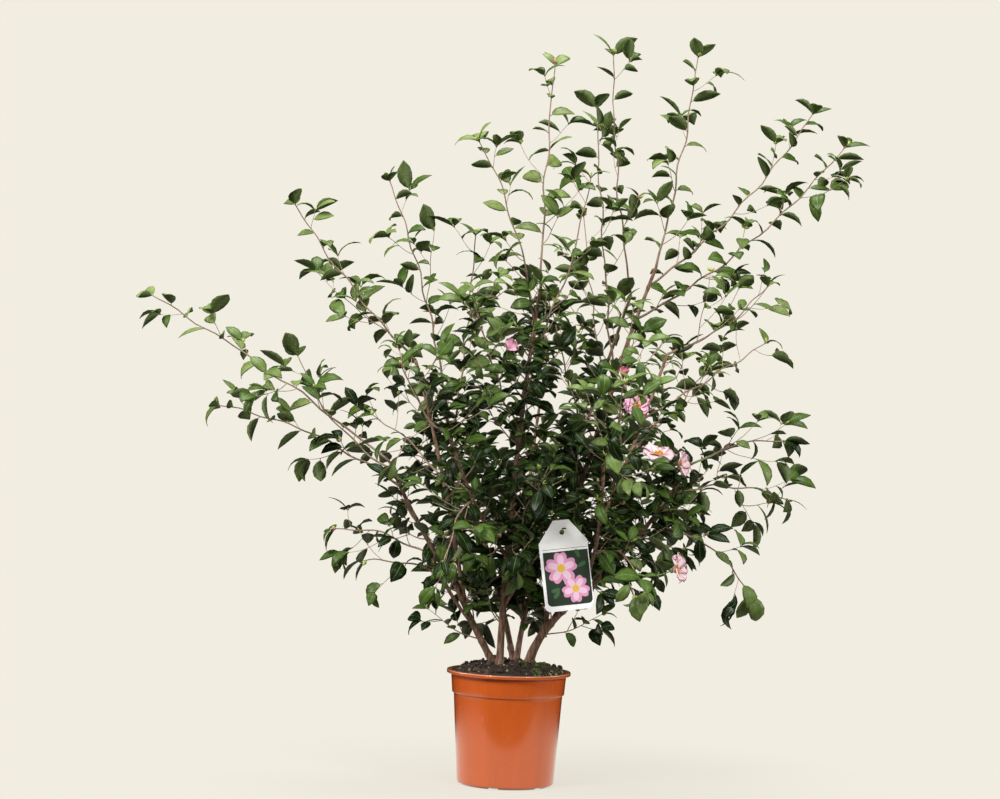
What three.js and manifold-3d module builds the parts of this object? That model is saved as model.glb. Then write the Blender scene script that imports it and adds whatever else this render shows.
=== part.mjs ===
// A camellia shrub in a five-litre nursery pot, in millimetres, +Z up.
// The origin is the centre of the flat underside of the pot. Five stems rise from the soil and fork into
// boughs. Each mass of foliage is one twig system that grows by a seeded rule from a stem of its own.
import * as THREE from 'three';
import { mergeVertices } from 'three/addons/utils/BufferGeometryUtils.js';
import Module from 'manifold-3d';

const wasm = await Module();
wasm.setup();

// ---------------------------------------------------------------- driving dimensions

const GAP = 0.3; // clearance between neighbouring solids
const CLEAR = 0.4; // what a limb takes off the pieces that leave it, on all sides
const FINE = 0.03; // detail below this size is smoothed away
const FLARE = 3; // how much wider a stem is at its foot
const POT = {
  height: 210, baseRadius: 90, rimRadius: 115, wall: 2.4, floor: 3,
  lipHeight: 6, collarHeight: 36, collarRadius: 107, collarStep: 3, edge: 4,
  sides: 30, notches: 6, notchWidth: 16, notchDepth: 9, notchHeight: 4,
};
const SOIL = { edgeHeight: 199, top: 214, landing: 52, sides: 18, rings: 3, lump: 4 };
const LABEL = {
  width: 87, height: 122, neck: 39, neckTop: 28, corner: 10, thick: 0.9,
  holeRadius: 4.5, holeDrop: 22, tilt: 8, backwards: 5, hangAt: 0.9, margin: 9,
};

// Limbs: radii at the two ends, the place of the tip, and how far the middle bows off the straight line.
// A stem has a foot on the soil. A bough leaves the limb that it is on, at that share of its length.
const FOOT = SOIL.top + GAP;
const LIMBS = [
  { name: 'stem_left', foot: [-24, -12, FOOT], tip: [-105, -40, 371], bow: [-3, 0, 0], radii: [6.4, 5.0] },
  { name: 'stem_centre', foot: [-18, -36, FOOT], tip: [33, -95, 919], bow: [-10, -12, 0], radii: [6.6, 3.0] },
  { name: 'stem_rear', foot: [10, 26, FOOT], tip: [-84, 70, 519], bow: [8, 6, 0], radii: [5.2, 4.0] },
  { name: 'stem_right', foot: [34, 2, FOOT], tip: [126, -25, 353], bow: [-16, 0, 3], radii: [8.4, 6.2] },
  { name: 'stem_mid', foot: [12, 5, FOOT], tip: [52, 50, 413], bow: [-5, 0, 0], radii: [5.2, 4.4] },

  { name: 'bough_far_left', on: 'stem_left', at: 1,
    tip: [-228, -130, 590], bow: [-8, -6, 0], radii: [4.6, 3.1] },
  { name: 'bough_left', on: 'stem_left', at: 0.72,
    tip: [-191, -60, 778], bow: [4, 12, 10], radii: [4.2, 2.7] },
  { name: 'bough_low_left', on: 'stem_left', at: 0.5,
    tip: [-150, -104, 424], bow: [-4, -10, -4], radii: [3.2, 2.4] },
  { name: 'bough_rear_left', on: 'stem_rear', at: 1,
    tip: [-140, 90, 720], bow: [-8, 0, 0], radii: [3.8, 2.7] },
  { name: 'bough_back_left', on: 'stem_rear', at: 0.75,
    tip: [-129, 240, 640], bow: [-6, 10, -20], radii: [3.6, 2.6] },
  { name: 'bough_upright', on: 'stem_mid', at: 1, tip: [182, 90, 747], bow: [10, -10, 0], radii: [4.1, 2.7] },
  { name: 'bough_top', on: 'stem_mid', at: 0.75, tip: [212, 170, 925], bow: [0, 55, 0], radii: [4.0, 2.8] },
  { name: 'bough_back', on: 'stem_mid', at: 0.45,
    tip: [44, 270, 703], bow: [-10, 30, -25], radii: [3.9, 2.7] },
  { name: 'bough_tall_right', on: 'stem_right', at: 0.45,
    tip: [248, 10, 967], bow: [-14, 10, 0], radii: [5.2, 3.1] },
  { name: 'bough_right', on: 'stem_right', at: 0.78,
    tip: [268, -90, 804], bow: [6, -8, 0], radii: [4.4, 2.8] },
  { name: 'bough_low_right', on: 'stem_right', at: 1,
    tip: [314, -110, 604], bow: [10, 0, -6], radii: [5.0, 2.9] },
  { name: 'bough_back_right', on: 'stem_right', at: 0.62,
    tip: [242, 250, 652], bow: [0, 20, -20], radii: [4.2, 2.7] },
  { name: 'bough_front_right', on: 'stem_right', at: 0.9,
    tip: [150, -280, 600], bow: [14, -20, -26], radii: [4.0, 2.7] },
  { name: 'bough_front_left', on: 'stem_centre', at: 0.3,
    tip: [-118, -280, 636], bow: [0, -14, -22], radii: [3.4, 2.5] },
  { name: 'label_twig', on: 'stem_centre', at: 0.16,
    tip: [90, -204, 485], bow: [16, 0, 40], radii: [2.2, 1.5] },
];

// Foliage: what a mass of each kind has. The bare share of a stem has no side twigs.
const KINDS = {
  shoot: { twigGap: 92, reach: 92, bare: 0.16, leafGap: 60, leaf: 52, radius: 2.6 },
  bushy: { twigGap: 48, reach: 125, bare: 0.1, leafGap: 64, leaf: 62, radius: 2.6 },
  dense: { twigGap: 62, reach: 155, bare: 0.06, leafGap: 62, leaf: 76, radius: 2.8 },
};
// Each mass: the limb that it grows on and where, the tip of its own stem, how that stem bows, and any
// large forks of it, each with its share along the stem and its tip.
const MASSES = [
  { name: 'far_left', kind: 'shoot', on: 'bough_far_left', at: 1, tip: [-667, -170, 877], bow: [-6, 0, 16],
    forks: [[0.42, [-470, -230, 700]]] },
  { name: 'low_left', kind: 'shoot', on: 'bough_far_left', at: 0.8, tip: [-554, -60, 683], bow: [0, 20, 24] },
  { name: 'left_spur', kind: 'shoot', on: 'bough_far_left', at: 0.94,
    tip: [-414, 0, 783], bow: [-16, 10, -22] },
  { name: 'left_mid', kind: 'bushy', on: 'bough_left', at: 0.5, tip: [-276, 100, 676], bow: [0, 12, 10] },
  { name: 'upper_left', kind: 'shoot', on: 'bough_left', at: 1, tip: [-421, -100, 1056], bow: [-6, 0, -10],
    forks: [[0.2, [-386, 10, 940]]] },
  { name: 'tall_left', kind: 'shoot', on: 'bough_rear_left', at: 1, tip: [-259, 80, 1124], bow: [12, 0, 0],
    forks: [[0.42, [-168, 20, 1024]]] },
  { name: 'crown_left', kind: 'bushy', on: 'bough_rear_left', at: 0.55,
    tip: [-90, 40, 1023], bow: [4, 0, 0], bare: 0.3 },
  { name: 'slant_left', kind: 'shoot', on: 'stem_centre', at: 0.9,
    tip: [-89, -150, 1176], bow: [12, -6, 16] },
  { name: 'tall_centre', kind: 'shoot', on: 'stem_centre', at: 1, tip: [46, -70, 1332], bow: [-4, 8, 0] },
  { name: 'inner_upright', kind: 'shoot', on: 'stem_centre', at: 0.82,
    tip: [115, -170, 1117], bow: [12, -20, -14] },
  { name: 'upright_mid', kind: 'shoot', on: 'bough_upright', at: 1, tip: [130, 90, 1279], bow: [-4, 0, 0] },
  { name: 'core_high', kind: 'dense', on: 'bough_upright', at: 0.55,
    tip: [50, 10, 900], bow: [0, 0, 10], bare: 0.3 },
  { name: 'top_shoot', kind: 'shoot', on: 'bough_top', at: 1, tip: [161, 150, 1389], bow: [-10, 0, 0] },
  { name: 'tall_right', kind: 'shoot', on: 'bough_tall_right', at: 1, tip: [313, 0, 1366], bow: [6, 0, 0] },
  { name: 'upper_right', kind: 'shoot', on: 'bough_tall_right', at: 0.95,
    tip: [540, 60, 1276], bow: [14, 8, -16] },
  { name: 'far_right', kind: 'shoot', on: 'bough_tall_right', at: 0.86,
    tip: [586, -60, 1200], bow: [10, -10, -24],
    forks: [[0.76, [580, -130, 1130]]] },
  { name: 'right_high', kind: 'bushy', on: 'bough_right', at: 1, tip: [457, -20, 943], bow: [14, 0, -10],
    forks: [[0.22, [342, -90, 960]]] },
  { name: 'right_mid', kind: 'bushy', on: 'bough_right', at: 0.75, tip: [466, 80, 838], bow: [8, 10, 4] },
  { name: 'right_low', kind: 'bushy', on: 'bough_low_right', at: 1, tip: [490, -60, 653], bow: [0, 0, 14] },
  { name: 'right_tip', kind: 'bushy', on: 'bough_low_right', at: 0.8, tip: [517, 60, 541], bow: [0, 16, 20] },
  { name: 'droop_right', kind: 'shoot', on: 'bough_low_right', at: 0.6,
    tip: [430, -130, 372], bow: [22, -14, 16] },
  { name: 'bottom_right', kind: 'bushy', on: 'bough_front_right', at: 0.5,
    tip: [232, -250, 380], bow: [10, 0, 24] },
  { name: 'front_right', kind: 'dense', on: 'bough_front_right', at: 1,
    tip: [170, -500, 740], bow: [0, -10, -20] },
  { name: 'front_high', kind: 'dense', on: 'bough_right', at: 0.45,
    tip: [190, -330, 880], bow: [0, -20, -16] },
  { name: 'front_left', kind: 'dense', on: 'bough_front_left', at: 1,
    tip: [-200, -490, 760], bow: [0, -10, -20] },
  { name: 'front_low', kind: 'bushy', on: 'bough_front_left', at: 0.6,
    tip: [-120, -400, 430], bow: [0, -10, 24] },
  { name: 'front_centre', kind: 'dense', on: 'stem_centre', at: 0.62,
    tip: [-90, -300, 900], bow: [0, -14, -22] },
  { name: 'back_left', kind: 'dense', on: 'bough_back_left', at: 1,
    tip: [-230, 450, 830], bow: [0, 10, -20] },
  { name: 'back_high', kind: 'dense', on: 'bough_top', at: 0.72, tip: [120, 330, 1090], bow: [0, 20, -20] },
  { name: 'back', kind: 'dense', on: 'bough_back', at: 1, tip: [30, 500, 900], bow: [0, 10, -20] },
  { name: 'back_low', kind: 'bushy', on: 'bough_back', at: 0.6, tip: [40, 440, 520], bow: [0, 10, 20] },
  { name: 'back_right', kind: 'dense', on: 'bough_back_right', at: 1,
    tip: [390, 430, 820], bow: [10, 10, -20] },
  { name: 'right_rear', kind: 'bushy', on: 'bough_back_right', at: 0.6,
    tip: [360, 330, 480], bow: [10, 10, 20] },
  { name: 'core_right', kind: 'dense', on: 'bough_low_right', at: 0.35,
    tip: [300, 40, 480], bow: [0, 10, 10] },
  { name: 'core_front', kind: 'dense', on: 'stem_centre', at: 0.32,
    tip: [40, -260, 590], bow: [0, -10, -16] },
  { name: 'low_side', kind: 'bushy', on: 'bough_low_left', at: 1, tip: [-330, -40, 463], bow: [0, 0, 14] },
  { name: 'low_front', kind: 'bushy', on: 'bough_low_left', at: 0.7,
    tip: [-264, -190, 415], bow: [0, -10, 14] },
];

// The rule of growth. Angles are in degrees, and sizes of a leaf are shares of its length.
const SEED = 7919;
const TURN = { first: 30, step: 120, spread: 50 }; // round the stem from one twig or leaf to the next
const TWIG = {
  lean: 50, leanSpread: 16, taper: 0.6, spread: 0.5, lift: 0.22, sag: 0.07,
  last: 0.95, jitter: 0.4, bare: 0.3, thickness: 0.44, forkThickness: 0.58, tipRadius: 0.5,
};
const LEAF = {
  forward: 0.55, level: 0.45, lift: 0.12, bend: 66, roll: 2.4, spread: 0.35, last: 0.985,
  width: 0.48, shoulder: 0.34, waist: 0.7, thick: 0.055, apart: 0.5,
};
const CELL_MARGIN = 2.5; // half the free space between two masses
const LIMB_MARGIN = 6; // how far leaves and twigs keep off the limbs
const TWIG_MARGIN = 9; // and off the other twigs of their own mass
const STRETCH = { limb: 80, stem: 75, twig: 60 }; // length of the straight stretches of each
const LIMB_SIDES = 5;
const TWIG_SIDES = 3;

// Blooms: the mass whose stem carries each, the share along that stem, its centre and the way it faces.
const BLOOM = { petals: 6, radius: 31, notch: 0.72, rise: 0.42, heart: 0.16, base: 0.12, stalk: 1.2 };
const BLOOMS = [
  { on: 'front_high', at: 0.3, centre: [262, -250, 650], facing: [0.35, -0.8, 0.5] },
  { on: 'right_low', at: 0.3, centre: [300, -205, 640], facing: [0.4, -0.75, 0.5] },
  { on: 'bottom_right', at: 0.75, centre: [282, -240, 420], facing: [0.85, -0.5, 0.1] },
  { on: 'front_centre', at: 0.45, centre: [-8, -228, 830], facing: [0.3, -0.9, -0.1] },
];

// ---------------------------------------------------------------- vectors and curves

const add = (a, b, s = 1) => [a[0] + b[0] * s, a[1] + b[1] * s, a[2] + b[2] * s];
const sub = (a, b) => add(a, b, -1);
const scale = (a, s) => [a[0] * s, a[1] * s, a[2] * s];
const dot = (a, b) => a[0] * b[0] + a[1] * b[1] + a[2] * b[2];
const cross = (a, b) => [a[1] * b[2] - a[2] * b[1], a[2] * b[0] - a[0] * b[2], a[0] * b[1] - a[1] * b[0]];
const size = (a) => Math.hypot(a[0], a[1], a[2]);
const unit = (a) => scale(a, 1 / size(a));
const rad = (degrees) => (degrees * Math.PI) / 180;
const UP = [0, 0, 1];

// A line from start to tip in straight stretches, along a quadratic curve whose middle lies off by bow.
function bowed(start, tip, bow, stretch) {
  const control = add(scale(add(start, tip), 0.5), bow, 2);
  const length = size(sub(tip, start));
  const steps = Math.max(1, Math.round(length / stretch));
  const points = Array.from({ length: steps + 1 }, (_, i) => {
    const t = i / steps;
    return add(add(scale(start, (1 - t) ** 2), control, 2 * t * (1 - t)), tip, t * t);
  });
  const point = (t) => {
    const i = Math.min(steps - 1, Math.floor(t * steps));
    return add(points[i], sub(points[i + 1], points[i]), t * steps - i);
  };
  const tangent = (t) => unit(add(scale(sub(control, start), 1 - t), sub(tip, control), t));
  return { length, steps, points, point, tangent };
}

// The direction that leaves an axis at a right angle, turned round it by so many degrees.
function radial(axis, degrees) {
  const level = Math.hypot(axis[0], axis[1]) > 1e-6 ? unit([axis[1], -axis[0], 0]) : [1, 0, 0];
  const raised = cross(level, axis);
  return add(scale(level, Math.cos(rad(degrees))), raised, Math.sin(rad(degrees)));
}

// Numbers from 0 to 1 that are the same for the same seed.
function seeded(seed) {
  let state = seed >>> 0;
  return () => {
    state = (state + 0x6d2b79f5) >>> 0;
    let mixed = Math.imul(state ^ (state >>> 15), state | 1);
    mixed ^= mixed + Math.imul(mixed ^ (mixed >>> 7), mixed | 61);
    return ((mixed ^ (mixed >>> 14)) >>> 0) / 4294967296;
  };
}

// ---------------------------------------------------------------- where limbs and masses lie

const limbs = new Map();
for (const limb of LIMBS) {
  const start = limb.foot ?? limbs.get(limb.on).curve.point(limb.at);
  limbs.set(limb.name, { ...limb, curve: bowed(start, limb.tip, limb.bow, STRETCH.limb) });
}
const masses = MASSES.map((mass, index) => ({
  ...KINDS[mass.kind], forks: [], ...mass, seed: index + 1,
  curve: bowed(limbs.get(mass.on).curve.point(mass.at), mass.tip, mass.bow, STRETCH.stem),
}));

const stretches = ({ points, steps }) => points.slice(0, steps).map((a, i) => ({ a, b: points[i + 1] }));
const massStretches = masses.map((mass) => stretches(mass.curve));
const limbStretches = [...limbs.values()].flatMap(({ curve, radii }) =>
  stretches(curve).map((stretch) => ({ ...stretch, radius: radii[0] })),
);

function distanceTo(point, { a, b }) {
  const along = sub(b, a);
  const t = Math.min(1, Math.max(0, dot(sub(point, a), along) / dot(along, along)));
  return size(sub(point, add(a, along, t)));
}
const distanceToMass = (point, i) => Math.min(...massStretches[i].map((s) => distanceTo(point, s)));

// A mass's space is all that lies nearer to its stem than to any other mass's stem.
const inSpace = (point, index) => {
  const own = distanceToMass(point, index) + CELL_MARGIN;
  return masses.every((_, i) => i === index || own < distanceToMass(point, i) - CELL_MARGIN);
};
const offLimbs = (point) => limbStretches.every((s) => distanceTo(point, s) > s.radius + LIMB_MARGIN);

// The label hangs from here, and nothing grows through it or in front of it.
const hangPoint = limbs.get('label_twig').curve.point(LABEL.hangAt);
function offLabel(point) {
  const [x, y, z] = sub(point, hangPoint);
  const [cos, sin] = [Math.cos(rad(LABEL.tilt)), Math.sin(rad(LABEL.tilt))];
  const [across, down] = [x * cos + z * sin, x * sin - z * cos];
  const lowest = LABEL.height + LABEL.neck - LABEL.holeDrop + LABEL.margin;
  const beside = Math.abs(across) > LABEL.width / 2 + LABEL.margin;
  return y > LABEL.margin || beside || down > lowest || down < -LABEL.holeDrop - LABEL.margin;
}
const isFree = (point, index) => offLimbs(point) && offLabel(point) && inSpace(point, index);

// ---------------------------------------------------------------- the rule of growth

const radiusAt = ({ radii }, t) => radii[0] + (radii[1] - radii[0]) * t;

// A side twig: it leaves its stem at t, and its tip turns up.
function sideTwig(stem, t, turn, reach, [lean, stretch]) {
  const axis = stem.curve.tangent(t);
  const root = stem.curve.point(t);
  const angle = rad(TWIG.lean + TWIG.leanSpread * (lean - 0.5));
  const way = add(scale(axis, Math.cos(angle)), radial(axis, turn), Math.sin(angle));
  const length = reach * (1 - TWIG.taper * t) * (1 + TWIG.spread * (stretch - 0.5));
  const tip = add(root, unit(add(way, UP, TWIG.lift)), length);
  const radii = [TWIG.thickness * radiusAt(stem, t), TWIG.tipRadius];
  return { curve: bowed(root, tip, scale(UP, -TWIG.sag * length), STRETCH.twig), radii };
}

// A leaf: its root, the direction and length of its chord from there to its tip, and its normal.
function leafOn(twig, t, turn, length, [roll, stretch]) {
  const axis = twig.curve.tangent(t);
  const [x, y, z] = radial(axis, turn);
  const way = unit(add(add(scale(axis, LEAF.forward), [x, y, z * LEAF.level]), UP, LEAF.lift));
  const flat = unit(add(UP, way, -dot(UP, way)));
  const normal = unit(add(flat, cross(flat, way), LEAF.roll * (roll - 0.5)));
  const half = rad(LEAF.bend) / 2;
  return {
    root: twig.curve.point(t),
    along: add(scale(way, Math.cos(half)), normal, -Math.sin(half)),
    normal: add(scale(normal, Math.cos(half)), way, Math.sin(half)),
    chord: (length * (1 + LEAF.spread * (stretch - 0.5)) * Math.sin(half)) / half,
  };
}

// The six corners of a leaf: root, tip, and two on each side that stand a little over the midrib.
function leafCorners({ root, along, normal, chord }) {
  const { width, thick, shoulder, waist } = LEAF;
  const side = cross(normal, along);
  const corner = (t, s) =>
    add(add(add(root, along, chord * t), side, (s * chord * width) / 2), normal, chord * thick);
  return [
    root, add(root, along, chord),
    corner(shoulder, 1), corner(waist, 1), corner(shoulder, -1), corner(waist, -1),
  ];
}

// The first of three turns round the stem in which a new twig or leaf keeps clear of everything, if any.
function firstFree(index, count, random, make, probes, apart) {
  const chances = [random(), random()];
  const turn = TURN.first + TURN.step * count + TURN.spread * (random() - 0.5);
  const choices = [0, 1, 2].map((i) => make(turn + i * TURN.step, chances));
  const fits = (grown) => probes(grown).every((point) => isFree(point, index)) && apart(grown);
  return choices.filter(fits).slice(0, 1);
}

const middle = (leaf) => add(leaf.root, leaf.along, leaf.chord / 2);
const leafTip = (leaf) => add(leaf.root, leaf.along, leaf.chord);
const leafProbes = (leaf) => [...leafCorners(leaf).slice(1), middle(leaf)];
const twigProbes = ({ curve }) => [0.45, 0.7, 1].map(curve.point);
const offTwig = (point, { curve }) => stretches(curve).every((s) => distanceTo(point, s) > TWIG_MARGIN);
const offTwigs = (point, twigs, own) => twigs.every((twig) => twig === own || offTwig(point, twig));

// The stem of a mass with its forks.
function mainTwigs({ curve, radius, forks, reach }) {
  const stem = { curve, radii: [radius, 2 * TWIG.tipRadius] };
  const branches = forks.map(([at, tip]) => ({
    curve: bowed(curve.point(at), tip, scale(UP, -TWIG.sag * reach), STRETCH.stem),
    radii: [TWIG.forkThickness * radiusAt(stem, at), TWIG.tipRadius],
  }));
  return [stem, ...branches];
}

// Everything that one mass grows: its stem, forks, side twigs and leaves, without those that don't fit.
function grow(mass, index) {
  const random = seeded(mass.seed * SEED);
  const mains = mainTwigs(mass);
  const twigs = [...mains];
  mains.forEach((main, m) => {
    const count = Math.max(m ? 1 : 3, Math.round((main.curve.length * (1 - mass.bare)) / mass.twigGap));
    for (let i = 0; i < count; i += 1) {
      const place = (i + 0.5 + TWIG.jitter * (random() - 0.5)) / count;
      const t = mass.bare + (TWIG.last - mass.bare) * place;
      const make = (turn, chances) => sideTwig(main, t, turn, mass.reach, chances);
      const apart = (twig) => twigProbes(twig).every((point) => offTwigs(point, twigs, main));
      twigs.push(...firstFree(index, i + mass.seed, random, make, twigProbes, apart));
    }
  });
  const leaves = [];
  twigs.forEach((twig, w) => {
    const apart = (leaf) => {
      const farFrom = (other) => size(sub(middle(leaf), middle(other))) > LEAF.apart * mass.leaf;
      const clear = [middle(leaf), leafTip(leaf)].every((point) => offTwigs(point, twigs, twig));
      return clear && leaves.every(farFrom);
    };
    const from = w < mains.length ? mass.bare : TWIG.bare;
    const count = Math.max(2, Math.round((twig.curve.length * (1 - from)) / mass.leafGap));
    for (let i = 1; i <= count; i += 1) {
      const t = from + ((LEAF.last - from) * i) / count;
      const make = (turn, chances) => leafOn(twig, t, turn, mass.leaf, chances);
      leaves.push(...firstFree(index, i + w, random, make, leafProbes, apart));
    }
  });
  return { twigs, leaves };
}

// ---------------------------------------------------------------- solids

const solidOf = (geometry) => {
  const bare = geometry.index ? geometry.toNonIndexed() : geometry.clone();
  for (const name of ['normal', 'uv']) bare.deleteAttribute(name);
  const merged = mergeVertices(bare, 1e-4);
  return new wasm.Manifold(
    new wasm.Mesh({
      numProp: 3,
      vertProperties: new Float32Array(merged.attributes.position.array),
      triVerts: new Uint32Array(merged.index.array),
    }),
  );
};

function geometryOf(solid) {
  const mesh = solid.getMesh();
  return new THREE.BufferGeometry()
    .setAttribute('position', new THREE.BufferAttribute(new Float32Array(mesh.vertProperties), 3))
    .setIndex(new THREE.BufferAttribute(new Uint32Array(mesh.triVerts), 1))
    .toNonIndexed();
}

// The largest piece of a solid, with any sealed hollow in it filled and loose scraps dropped.
const largest = (solid) => solid.decompose().reduce((a, b) => (b.volume() > a.volume() ? b : a));

// A cylinder bent along a curve, with radii from start to tip and its sections square to the axis at each.
function tubeGeometry(curve, sides, radiusOf, axisOf) {
  const shape = new THREE.CylinderGeometry(1, 1, 1, sides, curve.steps);
  const position = shape.attributes.position;
  const level = radial(curve.tangent(0.5), 0);
  for (let i = 0; i < position.count; i += 1) {
    const t = Math.min(1, Math.max(0, position.getY(i) + 0.5));
    const axis = axisOf(t);
    const first = unit(add(level, axis, -dot(level, axis)));
    const offset = add(scale(first, position.getX(i)), cross(first, axis), position.getZ(i));
    position.setXYZ(i, ...add(curve.point(t), offset, radiusOf(t)));
  }
  return shape;
}

// A limb, grown by extra on all sides. A stem flares at its foot, which is cut level.
function limbSolid(limb, extra = 0) {
  const atFoot = (t) => limb.foot && t === 0;
  const radius = (t) => radiusAt(limb, t) + extra + (atFoot(t) ? FLARE : 0);
  const axis = (t) => (atFoot(t) ? UP : limb.curve.tangent(t));
  return solidOf(tubeGeometry(limb.curve, LIMB_SIDES, radius, axis));
}

// A twig's sections are all parallel, so that each of its faces is flat.
function twigSolid(twig) {
  const chord = unit(sub(twig.curve.point(1), twig.curve.point(0)));
  return solidOf(tubeGeometry(twig.curve, TWIG_SIDES, (t) => radiusAt(twig, t), () => chord));
}

const LEAF_FACES = [
  [0, 2, 1], [2, 3, 1], [0, 1, 4], [4, 1, 5], // beneath, on both sides of the midrib
  [0, 4, 2], [2, 4, 5], [2, 5, 3], [1, 3, 5], // on top
];
const leafSolid = (corners) =>
  solidOf(
    new THREE.BufferGeometry().setAttribute(
      'position',
      new THREE.Float32BufferAttribute(LEAF_FACES.flat().flatMap((i) => corners[i]), 3),
    ),
  );

// A bloom with its stalk: a shallow cup whose rim runs out and in round its petals.
function bloomSolids(bloom, stem) {
  const { petals, radius, notch, rise, heart, base, stalk } = BLOOM;
  const facing = unit(bloom.facing);
  const inside = add(bloom.centre, facing, heart * radius);
  const outside = add(bloom.centre, facing, -base * radius);
  const rim = Array.from({ length: petals * 2 }, (_, i) => {
    const reach = radius * (i % 2 ? notch : 1);
    const out = radial(facing, (i * 180) / petals);
    return add(add(bloom.centre, out, reach), facing, rise * reach);
  });
  const faces = rim.flatMap((corner, i) => {
    const next = rim[(i + 1) % rim.length];
    return [inside, next, corner, outside, corner, next];
  });
  const cup = new THREE.BufferGeometry();
  cup.setAttribute('position', new THREE.Float32BufferAttribute(faces.flat(), 3));
  const curve = bowed(stem.point(bloom.at), bloom.centre, [0, 0, -6], STRETCH.twig);
  return [solidOf(cup), twigSolid({ curve, radii: [stalk, stalk] })];
}

const clearOf = (group) => wasm.Manifold.union(group.map((limb) => limbSolid(limb, CLEAR)));
const allLimbs = clearOf([...limbs.values()]);

function massSolid(mass, index) {
  const { twigs, leaves } = grow(mass, index);
  const blooms = BLOOMS.filter((bloom) => bloom.on === mass.name);
  const whole = wasm.Manifold.union([
    ...twigs.map(twigSolid),
    ...leaves.map((leaf) => leafSolid(leafCorners(leaf))),
    ...blooms.flatMap((bloom) => bloomSolids(bloom, mass.curve)),
  ]);
  return largest(largest(whole.subtract(allLimbs)).simplify(FINE));
}

// ---------------------------------------------------------------- pot, soil and label

// Half sections are [radius, height] points that a lathe turns round the Z axis.
function turned(points, sides) {
  const section = points.map(([radius, height]) => new THREE.Vector2(radius, height));
  return new THREE.LatheGeometry(section, sides).rotateX(Math.PI / 2);
}

function potSolid() {
  const { height, baseRadius, rimRadius, wall, floor, edge } = POT;
  const { lipHeight, collarHeight, collarRadius, collarStep } = POT;
  const stepHeight = height - lipHeight - collarHeight;
  const stepRadius = collarRadius - collarStep;
  const shell = solidOf(
    turned(
      [
        [0, 0], [baseRadius - edge, 0], [baseRadius, edge],
        [stepRadius - collarStep, stepHeight - collarStep], [stepRadius, stepHeight],
        [collarRadius, height - lipHeight], [rimRadius, height - lipHeight], [rimRadius, height - 1],
        [rimRadius - 1, height], [collarRadius - wall, height],
        [stepRadius - wall, stepHeight + collarStep],
        [stepRadius - collarStep - wall, stepHeight - collarStep],
        [baseRadius - wall, edge + floor], [baseRadius - edge - wall, floor], [0, floor],
      ],
      POT.sides,
    ),
  );
  const notches = Array.from({ length: POT.notches }, (_, i) => {
    const notch = new THREE.BoxGeometry(POT.notchDepth * 2, POT.notchWidth, POT.notchHeight * 2);
    return solidOf(notch.translate(baseRadius, 0, 0).rotateZ(rad(((i + 0.25) * 360) / POT.notches)));
  });
  return shell.subtract(wasm.Manifold.union(notches));
}

// How far inside the pot's wall the soil ends at a height.
function insideRadius(height) {
  const { baseRadius, wall, collarRadius, collarStep, lipHeight, collarHeight } = POT;
  const stepHeight = POT.height - lipHeight - collarHeight;
  const low = [POT.edge + POT.floor, baseRadius - wall];
  const step = [stepHeight - collarStep, collarRadius - 2 * collarStep - wall];
  const high = [POT.height, collarRadius - wall];
  const [from, to] = height < step[0] ? [low, step] : [step, high];
  return from[1] + ((to[1] - from[1]) * (height - from[0])) / (to[0] - from[0]) - 2 * GAP;
}

// The root ball fills the pot and rises in a lumpy mound to a flat landing for the stems.
function soilSolid() {
  const bottom = POT.floor + GAP;
  const walls = [POT.edge + POT.floor, POT.height - POT.lipHeight - POT.collarHeight - POT.collarStep];
  const edge = [insideRadius(SOIL.edgeHeight), SOIL.edgeHeight];
  const mound = Array.from({ length: SOIL.rings }, (_, i) => {
    const t = (i + 1) / SOIL.rings;
    const eased = t * t * (3 - 2 * t);
    return [edge[0] + (SOIL.landing - edge[0]) * t, edge[1] + (SOIL.top - edge[1]) * eased];
  });
  const geometry = turned(
    [
      [0, bottom], [insideRadius(walls[0]) - POT.edge, bottom],
      ...walls.map((height) => [insideRadius(height), height]), edge, ...mound, [0, SOIL.top],
    ],
    SOIL.sides,
  );
  const position = geometry.attributes.position;
  for (let i = 0; i < position.count; i += 1) {
    const [x, y, z] = [position.getX(i), position.getY(i), position.getZ(i)];
    if (z > SOIL.edgeHeight + 0.5 && z < SOIL.top - 0.5)
      position.setZ(i, z + SOIL.lump * Math.sin(x * 0.13 + 1) * Math.cos(y * 0.11));
  }
  return solidOf(geometry);
}

// A hang label: a card with round lower corners, a narrower neck and a hole in it. It hangs by its hole.
function labelSolid() {
  const { width, height, neck, neckTop, corner, thick, holeRadius, holeDrop } = LABEL;
  const half = width / 2;
  const outline = new THREE.Shape()
    .moveTo(-half + corner, -height)
    .lineTo(half - corner, -height)
    .absarc(half - corner, -height + corner, corner, -Math.PI / 2, 0)
    .lineTo(half, 0)
    .lineTo(neckTop / 2, neck)
    .lineTo(-neckTop / 2, neck)
    .lineTo(-half, 0)
    .lineTo(-half, -height + corner)
    .absarc(-half + corner, -height + corner, corner, Math.PI, Math.PI * 1.5);
  outline.holes.push(new THREE.Path().absarc(0, neck - holeDrop, holeRadius, 0, Math.PI * 2));
  const card = new THREE.ExtrudeGeometry(outline, { depth: thick, bevelEnabled: false, curveSegments: 5 });
  const twig = limbs.get('label_twig');
  const restOn = radiusAt(twig, LABEL.hangAt) + GAP;
  card.translate(0, -(neck - holeDrop) - holeRadius, -thick / 2).rotateX(Math.PI / 2 - rad(LABEL.backwards));
  card.rotateY(rad(-LABEL.tilt)).translate(...add(hangPoint, UP, restOn));
  return solidOf(card);
}

// ---------------------------------------------------------------- the assembly

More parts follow.
